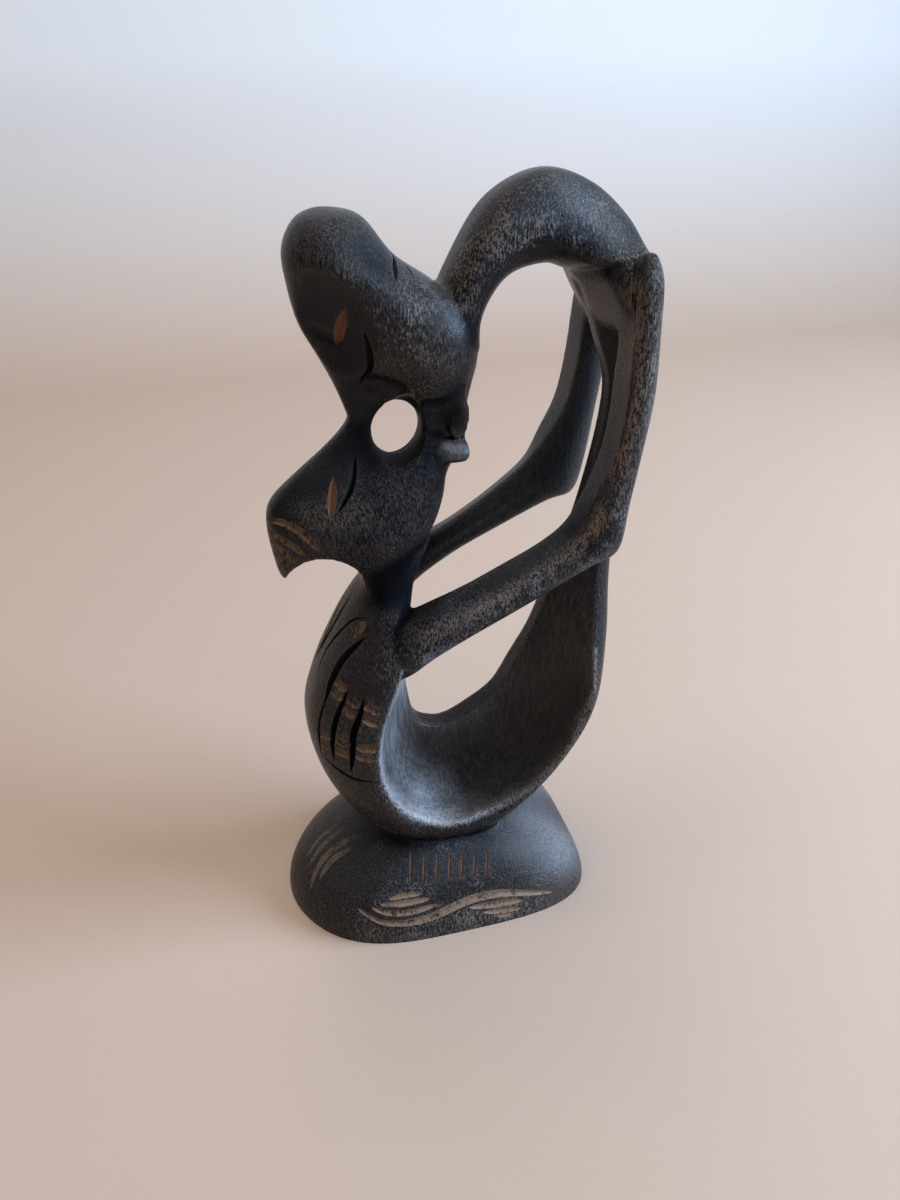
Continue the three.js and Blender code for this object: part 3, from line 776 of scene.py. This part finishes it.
def gougeTool(name, found, normals, half, depth, blunt):
    # a V, or with blunt a rounded hollow, swept along the draped line and run out at both ends
    def part(name):
        plain, more = carving[name]
        return plain + more * blunt

    count = len(found) - 1
    corners, faces = [], []
    for i in range(count + 1):
        near = slice(max(i - carving["steady"], 0), i + carving["steady"] + 1)
        out = sum(normals[near], Vector()).normalized()
        along = found[min(i + 1, count)] - found[max(i - 1, 0)]
        across = along.cross(out).normalized()
        swell = abs(math.sin(math.pi * i / count)) ** part("swell")
        tip = carving["tip"] + carving["tipBlunt"] * blunt * blunt
        taper = tip + (1 - tip) * swell
        deep = depth * taper * mm
        wide = half * taper * mm
        clear = carving["clear"] * mm
        flare = wide * (1 + clear / (depth * mm))
        shoulder, sunk = wide * part("shoulder"), -deep * part("shoulderDepth")
        floor = wide * part("floor")
        profile = [
            (-flare, clear), (-shoulder, sunk), (-floor, -deep),
            (floor + carving["edge"], -deep), (shoulder, sunk), (flare, clear),
        ]
        corners += [found[i] + across * aside + out * up for aside, up in profile]
    ring = len(profile)
    for i in range(count):
        for k in range(ring):
            a, b = i * ring + k, i * ring + (k + 1) % ring
            faces.append((a, a + ring, b + ring, b))
    faces.append(tuple(range(ring)))
    faces.append(tuple(reversed(range(count * ring, count * ring + ring))))
    mesh = bpy.data.meshes.new(name)
    mesh.from_pydata(corners, [], faces)
    tool = bpy.data.objects.new(name, mesh)
    bpy.context.scene.collection.objects.link(tool)
    return tool


def surfaceOf(figure):
    mesh = figure.data
    return BVHTree.FromPolygons(
        [v.co for v in mesh.vertices], [tuple(p.vertices) for p in mesh.polygons]
    )


def dropFins(figure):
    # the cuts can leave a sliver of no thickness: two faces back to back on the same corners
    mesh = bmesh.new()
    mesh.from_mesh(figure.data)
    faces = {}
    for face in mesh.faces:
        faces.setdefault(frozenset(v.index for v in face.verts), []).append(face)
    fins = [face for found in faces.values() if len(found) > 1 for face in found]
    bmesh.ops.delete(mesh, geom=fins, context="FACES")
    mesh.to_mesh(figure.data)
    mesh.free()
    print("fins dropped", len(fins))


def carve(figure, materials):
    wood = surfaceOf(figure)
    row = carving["strokes"]
    strokes = []
    for i in range(row["count"]):
        x = row["x"] + i * row["pitch"]
        sink = i * row["drop"]
        line = [(x, row["low"] - sink), (x + row["slant"], row["high"] - sink)]
        strokes.append((line, row["half"], row["depth"]))
    cuts = carving["cuts"] + [("frontStrokes", "bareWood", 0, False, 0.0, strokes)]
    for name, kind, turn, bothSides, blunt, lines in cuts:
        tools = []
        for side in (1, -1) if bothSides else (1,):
            for points, half, depth in lines:
                found, normals = drape(wood, points, turn, side)
                tools.append(gougeTool(name, found, normals, half, depth, blunt))
        tool = joined(tools)
        tool.data.materials.clear()
        tool.data.materials.append(materials[kind])
        cutAway(figure, tool, material_mode="TRANSFER")
    dropFins(figure)
    print("carved", len(figure.data.polygons), "faces")


# Where the paint is worn, dark or stained, and where a highlight or shade is painted into it. Every
# mark is a point or a line with its strength and reach. It is given on the near side and both sides
# take it, unless it names the one it is on.
wear = {
    "spread": 8,           # smoothing steps that find ridges and hollows
    "ridge": 0.16,         # millimetres a point stands out where a ridge is fully rubbed
    "soften": 3,           # smoothing steps of the masks
    "scoopSoften": 2,
    "rim": 1.1,            # half width of the rubbed line around the scoop, lightened as a painted highlight
    "rimSide": 8,          # that line keeps this far from the middle
    "paintedSheen": 13.0,         # width of the painted sheen, a reflection laid as a paler band inside the scoop's left rim
    "sheenCore": 1.3,      # higher keeps more of that band fully pale
    "boreShade": (-7.7, 180.2, 13.0),  # the eye hole: x, z, and how far round it shade is painted dark
    "boreCore": 1.6,       # higher keeps more of that fully dark
    "boreSide": 9,         # how far from the middle that goes
    "settle": (0.4, 0.6),  # share of itself and of its neighbours a point takes in one step
    "marks": {
        "fleck": [
            (0.15, 18, [(-22, -15, 223), (-16, -18, 220)]),
            (0.6, 17, [(-8, -18, 212), (0, -17, 204), (-3, -13, 195), (-11, -14, 201)]),
            (0.7, 26, [(10, -11, 228), (24, -12, 240), (42, -14, 242), (56, -18, 234)]),
            (-0.4, 16, [(-10, -14, 163), (-5, -12, 168)]),
            (0.7, 14, [(63, -25, 222), (64, -27, 200), (62, -27, 172), (57, -27, 150)]),
            (0.8, 11, [(50, -26, 141), (28, -26, 132), (8, -25, 121), (-4, -24, 110)]),
            (0.7, 9, [(50, -20, 152), (33, -20, 144), (15, -20, 134), (0, -20, 126)], "near"),
            (0.3, 14, [(-8, -24, 108), (-12, -20, 92)]),
            (0.3, 16, [(-30, -14, 62), (-24, -20, 48), (-10, -24, 38)]),
            (1, 9, [(62, -10, 100), (58, -14, 82), (50, -18, 64)]),
            (0.35, 60, [(0, -30, 12)]),
            (0.6, 14, [(-30, -36, 5), (0, -38, 5), (30, -37, 5)]),
            (-0.5, 60, [(50, 20, 190), (30, 20, 140)], "far"),
        ],
        "dark": [
            (1, 12, [(-32, -6, 214), (-27, -8, 206), (-23, -6, 197), (-18, -5, 188)]),
            (0.9, 8, [(-19, -13, 212), (-18, -9, 200)]),
            (1, 9, [(-13, -8, 193), (-4, -9, 188), (5, -8, 184), (5, -7, 172)]),
            (0.8, 8, [(10, -7, 180), (10, -7, 172)]),
            (1, 12, [(-40, -6, 164), (-30, -8, 170), (-20, -6, 177)]),
            (0.9, 9, [(-45, -6, 156), (-42, -7, 150)]),
            (0.5, 11, [(-16, -9, 138), (-12, -12, 128)]),
            (0.6, 10, [(-20, -10, 112), (-24, -6, 100)]),
            (0.7, 50, [(52, 20, 190), (40, 20, 145), (10, 20, 130)], "far"),
        ],
        "rub": [
            (1, 4.2, [(50, -27, 156), (47, -26, 149), (33, -26, 138), (17, -26, 130),
                                (1, -26, 123), (-5, -25, 119)]),
            (1, 5.0, [(56, -24, 220), (57, -26, 204), (57, -27, 187), (54, -27.5, 168)], "near"),
            (0.5, 7, [(-14, -18, 70), (-6, -23, 68), (0, -25, 70)]),
            (0.35, 12, [(-20, -16, 60)]),
            (0.4, 5, [(-37, -9, 160), (-29, -13, 157), (-20, -15, 160)]),
        ],
        # painted highlights on the lower lip's ledge and the mound's right shoulder, and painted
        # light lifting the far arm
        "paintedSheen": [
            (0.5, 5, [(7.5, -9, 174.6), (11.5, -9, 174.3)]),
            (0.6, 20, [(47, -18, 15), (40, -12, 26)]),
            (0.08, 40, [(50, 20, 185), (40, 15, 150)], "far"),
        ],
        "matt": [
            (1.5, 10, [(-3, -12, 140), (-2, -14, 130)]),
            (1.5, 16, [(-7.7, -8, 180)]),
            (1.2, 10, [(-1, -26, 119), (-5, -23, 123)]),
            (1.2, 13, [(-11, -13, 136), (-11, -15, 127), (-11, -21, 121)]),
            (1.2, 26, [(-10, -14, 163), (-6, -12, 150), (-16, -15, 146)]),
        ],
        "gloss": [
            (1, 20, [(30, -20, 25), (42, -24, 18), (38, -33, 10)]),
            (0.9, 9, [(40, -8, 246), (46, -11, 241), (52, -13, 236), (54, -16, 232)]),
            (1, 6, [(4, -3, 222), (6, -12, 217), (9, -14, 211)]),
            (1, 6, [(7.5, -9, 174.6), (11.5, -9, 174.3)]),
            (0.25, 16, [(-13, -17, 52), (-8, -21, 46)]),
            (0.7, 7, [(63, -27, 215), (64, -28, 200), (63, -27, 175)]),
        ],
        # painted shade: a dark line along the fold under the arch, joined to the hollows
        "crease": [
            (2.5, 3, [(39, -11, 227.5), (43, -14, 226), (49, -15.5, 224), (52, -21, 223)]),
        ],
        "crack": [
            (1.2, 2.6, [(55, -24, 218), (56, -25, 199), (56, -26, 184), (53, -27, 168)], "near"),
            (1.5, 5.0, [(46, -26, 145), (33, -26, 135), (17, -26, 127)]),
        ],
        "brown": [
            (0.7, 3.5, [(54, -21, 222), (55, -24, 202), (55, -25, 180), (51, -26, 163)], "near"),
            (0.4, 7, [(-22, -14, 145), (-15, -15, 148)]),
            (0.7, 16, [(46, -20, 92), (40, -22, 72)]),
            (0.5, 12, [(-26, -14, 58), (-14, -22, 50)]),
            (0.6, 9, [(8, -10, 226), (12, -11, 232)]),
            (0.5, 8, [(4, -10, 200)]),
            (0.4, 13, [(-4, -16, 204), (-8, -14, 198)]),
        ],
    },
    # Faces planed smooth. Each begins at this x, z or turn of its normal and comes in over the
    # number after it; a pair of limits cuts it off.
    "planed": {
        "arm": {"x": (38, 6), "z": (140, 6), "inward": (0.35, 0.3)},
        "under": {"z": (196, 8), "down": (0.25, 0.3)},
        "top": {"x": (2, 8), "up": (0.3, 0.3), "between": (118, 160), "outside": 11, "share": 0.3},
        "panel": {
            "across": (43, 57.5), "between": (196, 226), "inside": 25, "up": 0.15, "out": 0.3,
            "share": 0.55,
        },
        "farFrom": 4, "farShare": 0.35,   # less so on the far side
    },
    "scoopSide": 0.12,            # a face of the scoop is turned at least so far sideways
    "scoopTop": (104, 0.42, -2),  # the scoop ends under a line: height, slope, x of that height
    "rimEnd": -4,                 # the outline's last points, at the open top, have no rim
    "leftRim": (2, 10),           # the points of the outline that the paler band follows
    # the scooped side of the ring, outlined across and up
    "scoop": [
        (-12.5, 108), (-15.7, 98.5), (-18.5, 91), (-20.6, 84), (-21.8, 75), (-21.5, 66),
        (-19.5, 58.5), (-16.5, 52), (-12, 46.5), (-6.5, 42.3), (0, 39.5), (7.5, 38.8),
        (16.2, 40.5), (24, 44), (33, 50), (41, 59), (46.6, 67.3), (51, 78), (54, 88), (55, 101),
        (54, 115), (57, 140), (50, 134), (0, 112),
    ],
}


def farFrom(places, line):
    # distance of every place from a line through a few points
    line = [np.array(p, float) for p in line]
    best = np.linalg.norm(places - line[0], axis=1)
    for start, end in zip(line, line[1:]):
        along = end - start
        t = np.clip((places - start) @ along / (along @ along), 0, 1)
        best = np.minimum(best, np.linalg.norm(places - start - t[:, None] * along, axis=1))
    return best


def insideOutline(x, z, outline):
    inside = np.zeros(len(x), bool)
    for (x1, z1), (x2, z2) in zip(outline, outline[1:] + outline[:1]):
        if z1 != z2:
            crossing = (z1 > z) != (z2 > z)
            inside ^= crossing & (x < (x2 - x1) * (z - z1) / (z2 - z1) + x1)
    return inside


def comeIn(values, start, over):
    return np.clip((values - start) / over, 0, 1)


def planedFaces(x, y, z, normals):
    # the inner sides of the arms, the underside of the arch, the top of the forearms and the
    # panels under the shoulders
    aside, faceX, faceZ = np.abs(y), normals[:, 0], normals[:, 2]
    kinds = wear["planed"]
    arm = kinds["arm"]
    arm = comeIn(x, *arm["x"]) * comeIn(z, *arm["z"]) * comeIn(-faceX, *arm["inward"])
    under = comeIn(z, *kinds["under"]["z"]) * comeIn(-faceZ, *kinds["under"]["down"])
    ask = kinds["top"]
    low, high = ask["between"]
    top = comeIn(x, *ask["x"]) * comeIn(faceZ, *ask["up"]) * ask["share"]
    top = top * (z > low) * (z < high) * (aside > ask["outside"])
    ask = kinds["panel"]
    low, high = ask["between"]
    start, end = ask["across"]
    panel = (x > start) * (x < end) * (z > low) * (z < high) * (aside < ask["inside"])
    panel = panel * (faceZ < ask["up"]) * (faceX < ask["out"]) * ask["share"]
    planed = np.maximum.reduce([arm, under, top, panel])
    return planed * np.where(y > kinds["farFrom"], kinds["farShare"], 1)


def writeMasks(figure):
    mesh = figure.data
    count = len(mesh.vertices)
    places = readArray(mesh.vertices, "co", 3) / mm
    normals = readArray(mesh.vertex_normals, "vector", 3)
    ends = readArray(mesh.edges, "vertices", 2, int)
    degree = np.maximum(np.bincount(ends.ravel(), minlength=count), 1)

    def spread(values, steps):
        own, others = wear["settle"]
        for _ in range(steps):
            total = (np.bincount(ends[:, 0], values[ends[:, 1]], count)
                     + np.bincount(ends[:, 1], values[ends[:, 0]], count))
            values = own * values + others * total / degree
        return values

    masks = {}
    smooth = np.stack([spread(places[:, k], wear["spread"]) for k in range(3)], axis=1)
    stands = np.sum((places - smooth) * normals, axis=1) / wear["ridge"]
    masks["edge"] = spread(np.clip(stands, 0, 1), 1)
    # concave places, which the colour darkens as painted shade
    masks["hollow"] = spread(np.clip(-stands, 0, 1), 1)
    near = places * [1, 0, 1]
    near[:, 1] = -np.abs(places[:, 1])
    for name, marks in wear["marks"].items():
        total = np.zeros(count)
        for strength, reach, line, *side in marks:
            seen = places if side else near
            fall = eased(np.clip(1 - farFrom(seen, line) / reach, 0, 1))
            total = total + strength * fall
        masks[name] = spread(np.clip(total, -1, 1), wear["soften"])
    # the crease joins the hollows as painted shade
    masks["hollow"] = np.maximum(masks["hollow"], masks.pop("crease"))
    x, y, z = places.T
    flat = places * [1, 0, 1]
    outline = [(across, 0, up) for across, up in wear["scoop"]]
    height, slope, start = wear["scoopTop"]
    scoop = insideOutline(x, z, wear["scoop"]) & (np.abs(normals[:, 1]) > wear["scoopSide"])
    scoop &= z < height + slope * (x - start)
    masks["scoop"] = spread(scoop.astype(float), wear["scoopSoften"])
    # the rubbed line around the scoop's rim, which the colour lightens as a painted highlight
    rim = np.clip(1 - farFrom(flat, outline[:wear["rimEnd"]]) / wear["rim"], 0, 1)
    masks["rim"] = spread(rim * (np.abs(y) > wear["rimSide"]), 1)
    # painted sheen: a paler band of reflection inside the scoop's left rim
    left = farFrom(flat, outline[slice(*wear["leftRim"])]) / wear["paintedSheen"]
    band = np.clip(wear["sheenCore"] - left, 0, 1) * masks["scoop"]
    masks["paintedSheen"] = np.maximum(masks["paintedSheen"], band)
    # painted shade in and round the eye hole
    holeX, holeZ, reach = wear["boreShade"]
    boreShade = np.clip(wear["boreCore"] * (1 - np.hypot(x - holeX, z - holeZ) / reach), 0, 1)
    masks["boreShade"] = boreShade * (np.abs(y) < wear["boreSide"])
    masks["planed"] = spread(planedFaces(x, y, z, normals), wear["soften"])
    for name, values in masks.items():
        layer = mesh.attributes.new(name, "FLOAT", "POINT")
        layer.data.foreach_set("value", values)


# noise patterns on Object coordinates: scale, detail, roughness, stretch, shift
patterns = {
    "fibre": (2000, 4, 0.7, (1, 1, 0.24), 0.0),
    "speck": (2800, 3, 0.6, (1, 1, 0.5), 3.1),
    "patch": (110, 3, 0.6, (1, 1, 0.6), 1.7),
    "cloud": (34, 2, 0.5, (1, 1, 0.7), 5.3),
    "streak": (1000, 4, 0.65, (1, 1, 0.05), 2.3),
    "split": (420, 3, 0.6, (1, 1, 0.05), 7.7),
    "wrinkle": (620, 3, 0.55, (1, 1, 1), 9.2),
    "cutFine": (1300, 3, 0.6, (1, 1, 0.3), 4.1),
    "cutWide": (330, 3, 0.6, (1, 1, 0.5), 0.7),
}


def noise(tree, where, name):
    scale, detail, rough, stretch, shift = patterns[name]
    mapped = addNode(
        tree, "ShaderNodeMapping", {"Vector": where, "Scale": stretch, "Location": (shift,) * 3}
    )
    made = addNode(tree, "ShaderNodeTexNoise", {
        "Vector": mapped.outputs["Vector"], "Scale": scale, "Detail": detail, "Roughness": rough,
    })
    return made.outputs["Fac"]


def mask(tree, name):
    return addNode(tree, "ShaderNodeAttribute", attribute_name=name).outputs["Fac"]


def maths(tree, operation, a, b):
    return addNode(tree, "ShaderNodeMath", {0: a, 1: b}, operation=operation).outputs["Value"]


def times(tree, a, b):
    return maths(tree, "MULTIPLY", a, b)


def ramp(tree, value, low, high, toLow=0.0, toHigh=1.0):
    node = addNode(tree, "ShaderNodeMapRange", {
        "Value": value, "From Min": low, "From Max": high, "To Min": toLow, "To Max": toHigh,
    }, interpolation_type="SMOOTHSTEP")
    return node.outputs["Result"]


def level(tree, value, name):
    return ramp(tree, value, *levels[name])


def blend(tree, factor, a, b):
    # in a mix node 0 is the factor, 6 and 7 are the colours and output 2 is the mixed one
    a, b = ((*colour, 1) if isinstance(colour, tuple) else colour for colour in (a, b))
    return addNode(tree, "ShaderNodeMix", {0: factor, 6: a, 7: b}, data_type="RGBA").outputs[2]


# the stain, its flecks and the worn places, a painted sheen, a painted highlight on the scoop's
# rim, and black for cracks and painted shade: linear colours, then how the surface shines
paint = {
    "blue": (0.0036, 0.0052, 0.0094),
    "soot": (0.0058, 0.006, 0.0085),
    "fleckTan": (0.29, 0.235, 0.195),
    # a painted reflection on the scoop, the lip and the mound
    "fleckGrey": (0.225, 0.228, 0.252),
    "paintedSheen": (0.31, 0.306, 0.318),
    # the scoop's rubbed rim, lightened as a painted highlight line
    "rim": (0.42, 0.39, 0.38),
    "planed": (0.029, 0.0285, 0.0325),
    "planedDark": (0.016, 0.016, 0.0195),
    "scoop": (0.028, 0.0245, 0.024),
    "scoopPale": (0.068, 0.06, 0.055),
    "brown": (0.046, 0.027, 0.02),
    "rub": (0.235, 0.172, 0.125),
    "edge": (0.12, 0.098, 0.084),
    # black serves the cracks, and painted shade in hollows, the crease and the eye hole
    "black": (0.004, 0.004, 0.005),
    "mattRough": 0.7,
    "bump": 0.5,          # millimetres
    "specular": 0.19,
    "waxed": 0.75,        # the same where the wax is thick
}
roughness = (0.23, 0.56)
# how a pattern or a mask is spread: from one value to another, and what those two become
levels = {
    "patches": (0.3, 0.7, -1.15, 0.25),
    "patchesInFlecks": (0.0, 1.0, 1.0, 0.35),
    "flecks": (0.56, 0.63),
    "stain": (0.35, 0.65),
    "planed": (0.35, 0.7),
    "scoop": (0.38, 0.68),
    "glow": (0.42, 0.58, 0.55, 1.1),
    "brown": (0.35, 0.6),
    "pale": (0.4, 0.6),
    "bright": (-0.5, 0.9, 0.12, 0.85),
    "worn": (0.45, 0.54),
    "split": (0.42, 0.47, 1.0, 0.0),
    "edge": (0.42, 0.62),
    "edgeInDark": (0.2, 1.0, 0.75, 0.25),
    "wax": (0.0, 1.0, paint["specular"], paint["waxed"]),
    "unwaxed": (0.0, 1.0, 1.0, 0.2),
    "rough": (0.35, 1.1, *roughness),
    "bump": (0.0, 1.0, 0.9, 0.3),
}
# how much of one thing goes into another
shares = {
    "bare": 0.8, "fibre": 0.7, "speck": 0.3, "density": 0.11, "planed": 0.85, "hollow": 0.8,
    "fleckRough": 0.4, "fleckHeight": 0.12, "wrinkle": 0.9,
}


def paintedWood():
    # thin black stain rubbed back to the wood in short upright flecks, with a painted sheen, a
    # painted highlight line and painted shade laid into its colour
    material, tree, shader = newMaterial("paintedWood")
    where = addNode(tree, "ShaderNodeTexCoord").outputs["Object"]
    fibre, speck = noise(tree, where, "fibre"), noise(tree, where, "speck")
    patch, cloud = noise(tree, where, "patch"), noise(tree, where, "cloud")
    streak = noise(tree, where, "streak")
    fleck, dark, rub = mask(tree, "fleck"), mask(tree, "dark"), mask(tree, "rub")
    brown, scoop, planed = mask(tree, "brown"), mask(tree, "scoop"), mask(tree, "planed")
    edge, hollow, rim = mask(tree, "edge"), mask(tree, "hollow"), mask(tree, "rim")

    patches = level(tree, patch, "patches")
    patches = times(tree, patches, level(tree, fleck, "patchesInFlecks"))
    density = maths(tree, "ADD", patches, fleck)
    for smoother in (dark, times(tree, planed, shares["bare"]), times(tree, scoop, shares["bare"])):
        density = maths(tree, "SUBTRACT", density, smoother)
    grain = times(tree, fibre, shares["fibre"])
    grain = maths(tree, "ADD", grain, times(tree, speck, shares["speck"]))
    lifted = maths(tree, "ADD", grain, times(tree, density, shares["density"]))
    flecks = level(tree, lifted, "flecks")

    smooth = level(tree, streak, "planed")
    smooth = blend(tree, smooth, paint["planedDark"], paint["planed"])
    brushed = blend(tree, level(tree, streak, "scoop"), paint["scoop"], paint["scoopPale"])
    pale = blend(tree, level(tree, cloud, "pale"), paint["fleckGrey"], paint["fleckTan"])
    worn = level(tree, grain, "worn")
    split = level(tree, noise(tree, where, "split"), "split")
    rubbed = times(tree, edge, level(tree, grain, "edge"))
    rubbed = times(tree, rubbed, level(tree, dark, "edgeInDark"))
    # painted shade: hollows, the crease and the eye hole blended to black
    paintedShade = maths(tree, "MAXIMUM", times(tree, hollow, shares["hollow"]), mask(tree, "boreShade"))
    colour = blend(tree, level(tree, cloud, "stain"), paint["blue"], paint["soot"])
    # coat over coat: how far each covers, and its colour
    for cover, coat in (
        (times(tree, planed, shares["planed"]), smooth),
        (scoop, brushed),
        # painted sheen, streaked like the brushed wood
        (times(tree, mask(tree, "paintedSheen"), level(tree, streak, "glow")), paint["paintedSheen"]),
        (times(tree, brown, level(tree, speck, "brown")), paint["brown"]),
        (times(tree, flecks, level(tree, density, "bright")), pale),
        (times(tree, rub, worn), paint["rub"]),
        # rubbed rim, lightened into a painted highlight line
        (times(tree, rim, worn), paint["rim"]),
        (times(tree, mask(tree, "crack"), split), paint["black"]),
        (rubbed, paint["edge"]),
        # painted shade in hollows, the crease and the eye hole
        (paintedShade, paint["black"]),
    ):
        colour = blend(tree, cover, colour, coat)

    matt = mask(tree, "matt")
    shine = level(tree, mask(tree, "gloss"), "wax")
    shine = times(tree, shine, level(tree, matt, "unwaxed"))
    coarse = maths(tree, "ADD", times(tree, flecks, shares["fleckRough"]), speck)
    coarse = level(tree, coarse, "rough")
    coarse = maths(tree, "MAXIMUM", coarse, times(tree, matt, paint["mattRough"]))
    height = maths(tree, "ADD", grain, times(tree, flecks, shares["fleckHeight"]))
    wrinkle = times(tree, noise(tree, where, "wrinkle"), shares["wrinkle"])
    height = maths(tree, "ADD", height, wrinkle)
    calm = maths(tree, "MAXIMUM", maths(tree, "MAXIMUM", dark, planed), scoop)
    bump = addNode(tree, "ShaderNodeBump", {
        "Height": height, "Strength": level(tree, calm, "bump"), "Distance": paint["bump"] * mm,
    })
    feed(tree, shader, {
        "Base Color": colour, "Specular IOR Level": shine, "Roughness": coarse,
        "Normal": bump.outputs["Normal"],
    })
    return material


# The floors of the gouge cuts: two tones, how much of the dark one shows, roughness. The dark tone
# is also painted into each cut's hollow as shade.
cutWoods = {
    "bareWood": ((0.155, 0.072, 0.04), (0.06, 0.031, 0.02), 0.38, 0.5),
    "wornWood": ((0.185, 0.115, 0.072), (0.018, 0.012, 0.01), 0.46, 0.55),
    "fadedCut": ((0.285, 0.195, 0.13), (0.035, 0.029, 0.028), 0.44, 0.6),
    "dimCut": ((0.165, 0.118, 0.094), (0.026, 0.021, 0.021), 0.44, 0.6),
    "blackCut": ((0.003, 0.003, 0.004), (0.001, 0.001, 0.0015), 0.5, 0.6),
}
# hollow: how much painted shade darkens the deepest part of a cut
cutLook = {
    "mix": 0.5, "soft": 0.07, "hollow": 0.2, "fine": (0.3, 0.7), "rough": (0.08, 0.1),
    "specular": 0.15, "bump": (0.6, 0.15),   # strength, millimetres
}


def cutWood(name):
    material, tree, shader = newMaterial(name)
    pale, deep, share, rough = cutWoods[name]
    where = addNode(tree, "ShaderNodeTexCoord").outputs["Object"]
    fine, wide = noise(tree, where, "cutFine"), noise(tree, where, "cutWide")
    half, soft = cutLook["mix"], cutLook["soft"]
    grain = maths(tree, "ADD", times(tree, fine, half), times(tree, wide, half))
    colour = blend(tree, ramp(tree, grain, share - soft, share + soft), deep, pale)
    # painted shade: the cut's hollow darkened towards the dark tone
    colour = blend(tree, times(tree, mask(tree, "hollow"), cutLook["hollow"]), colour, deep)
    less, more = cutLook["rough"]
    coarse = ramp(tree, fine, *cutLook["fine"], rough - less, rough + more)
    strength, depth = cutLook["bump"]
    bump = addNode(tree, "ShaderNodeBump", {
        "Height": fine, "Strength": strength, "Distance": depth * mm,
    })
    feed(tree, shader, {
        "Base Color": colour, "Specular IOR Level": cutLook["specular"], "Roughness": coarse,
        "Normal": bump.outputs["Normal"],
    })
    return material


makeCamera()
makeLights()
makeSweep()
print("camera, lights and sweep")

materials = {name: cutWood(name) for name in cutWoods}
figure = roughOut()
figure.data.materials.clear()
figure.data.materials.append(paintedWood())
carve(figure, materials)
selectOnly(figure)
bpy.ops.object.shade_smooth_by_angle(angle=math.radians(form["crease"]))
writeMasks(figure)
print("masks written")

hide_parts("embracing_couple")
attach(figure, "root")

print("figure dressed")
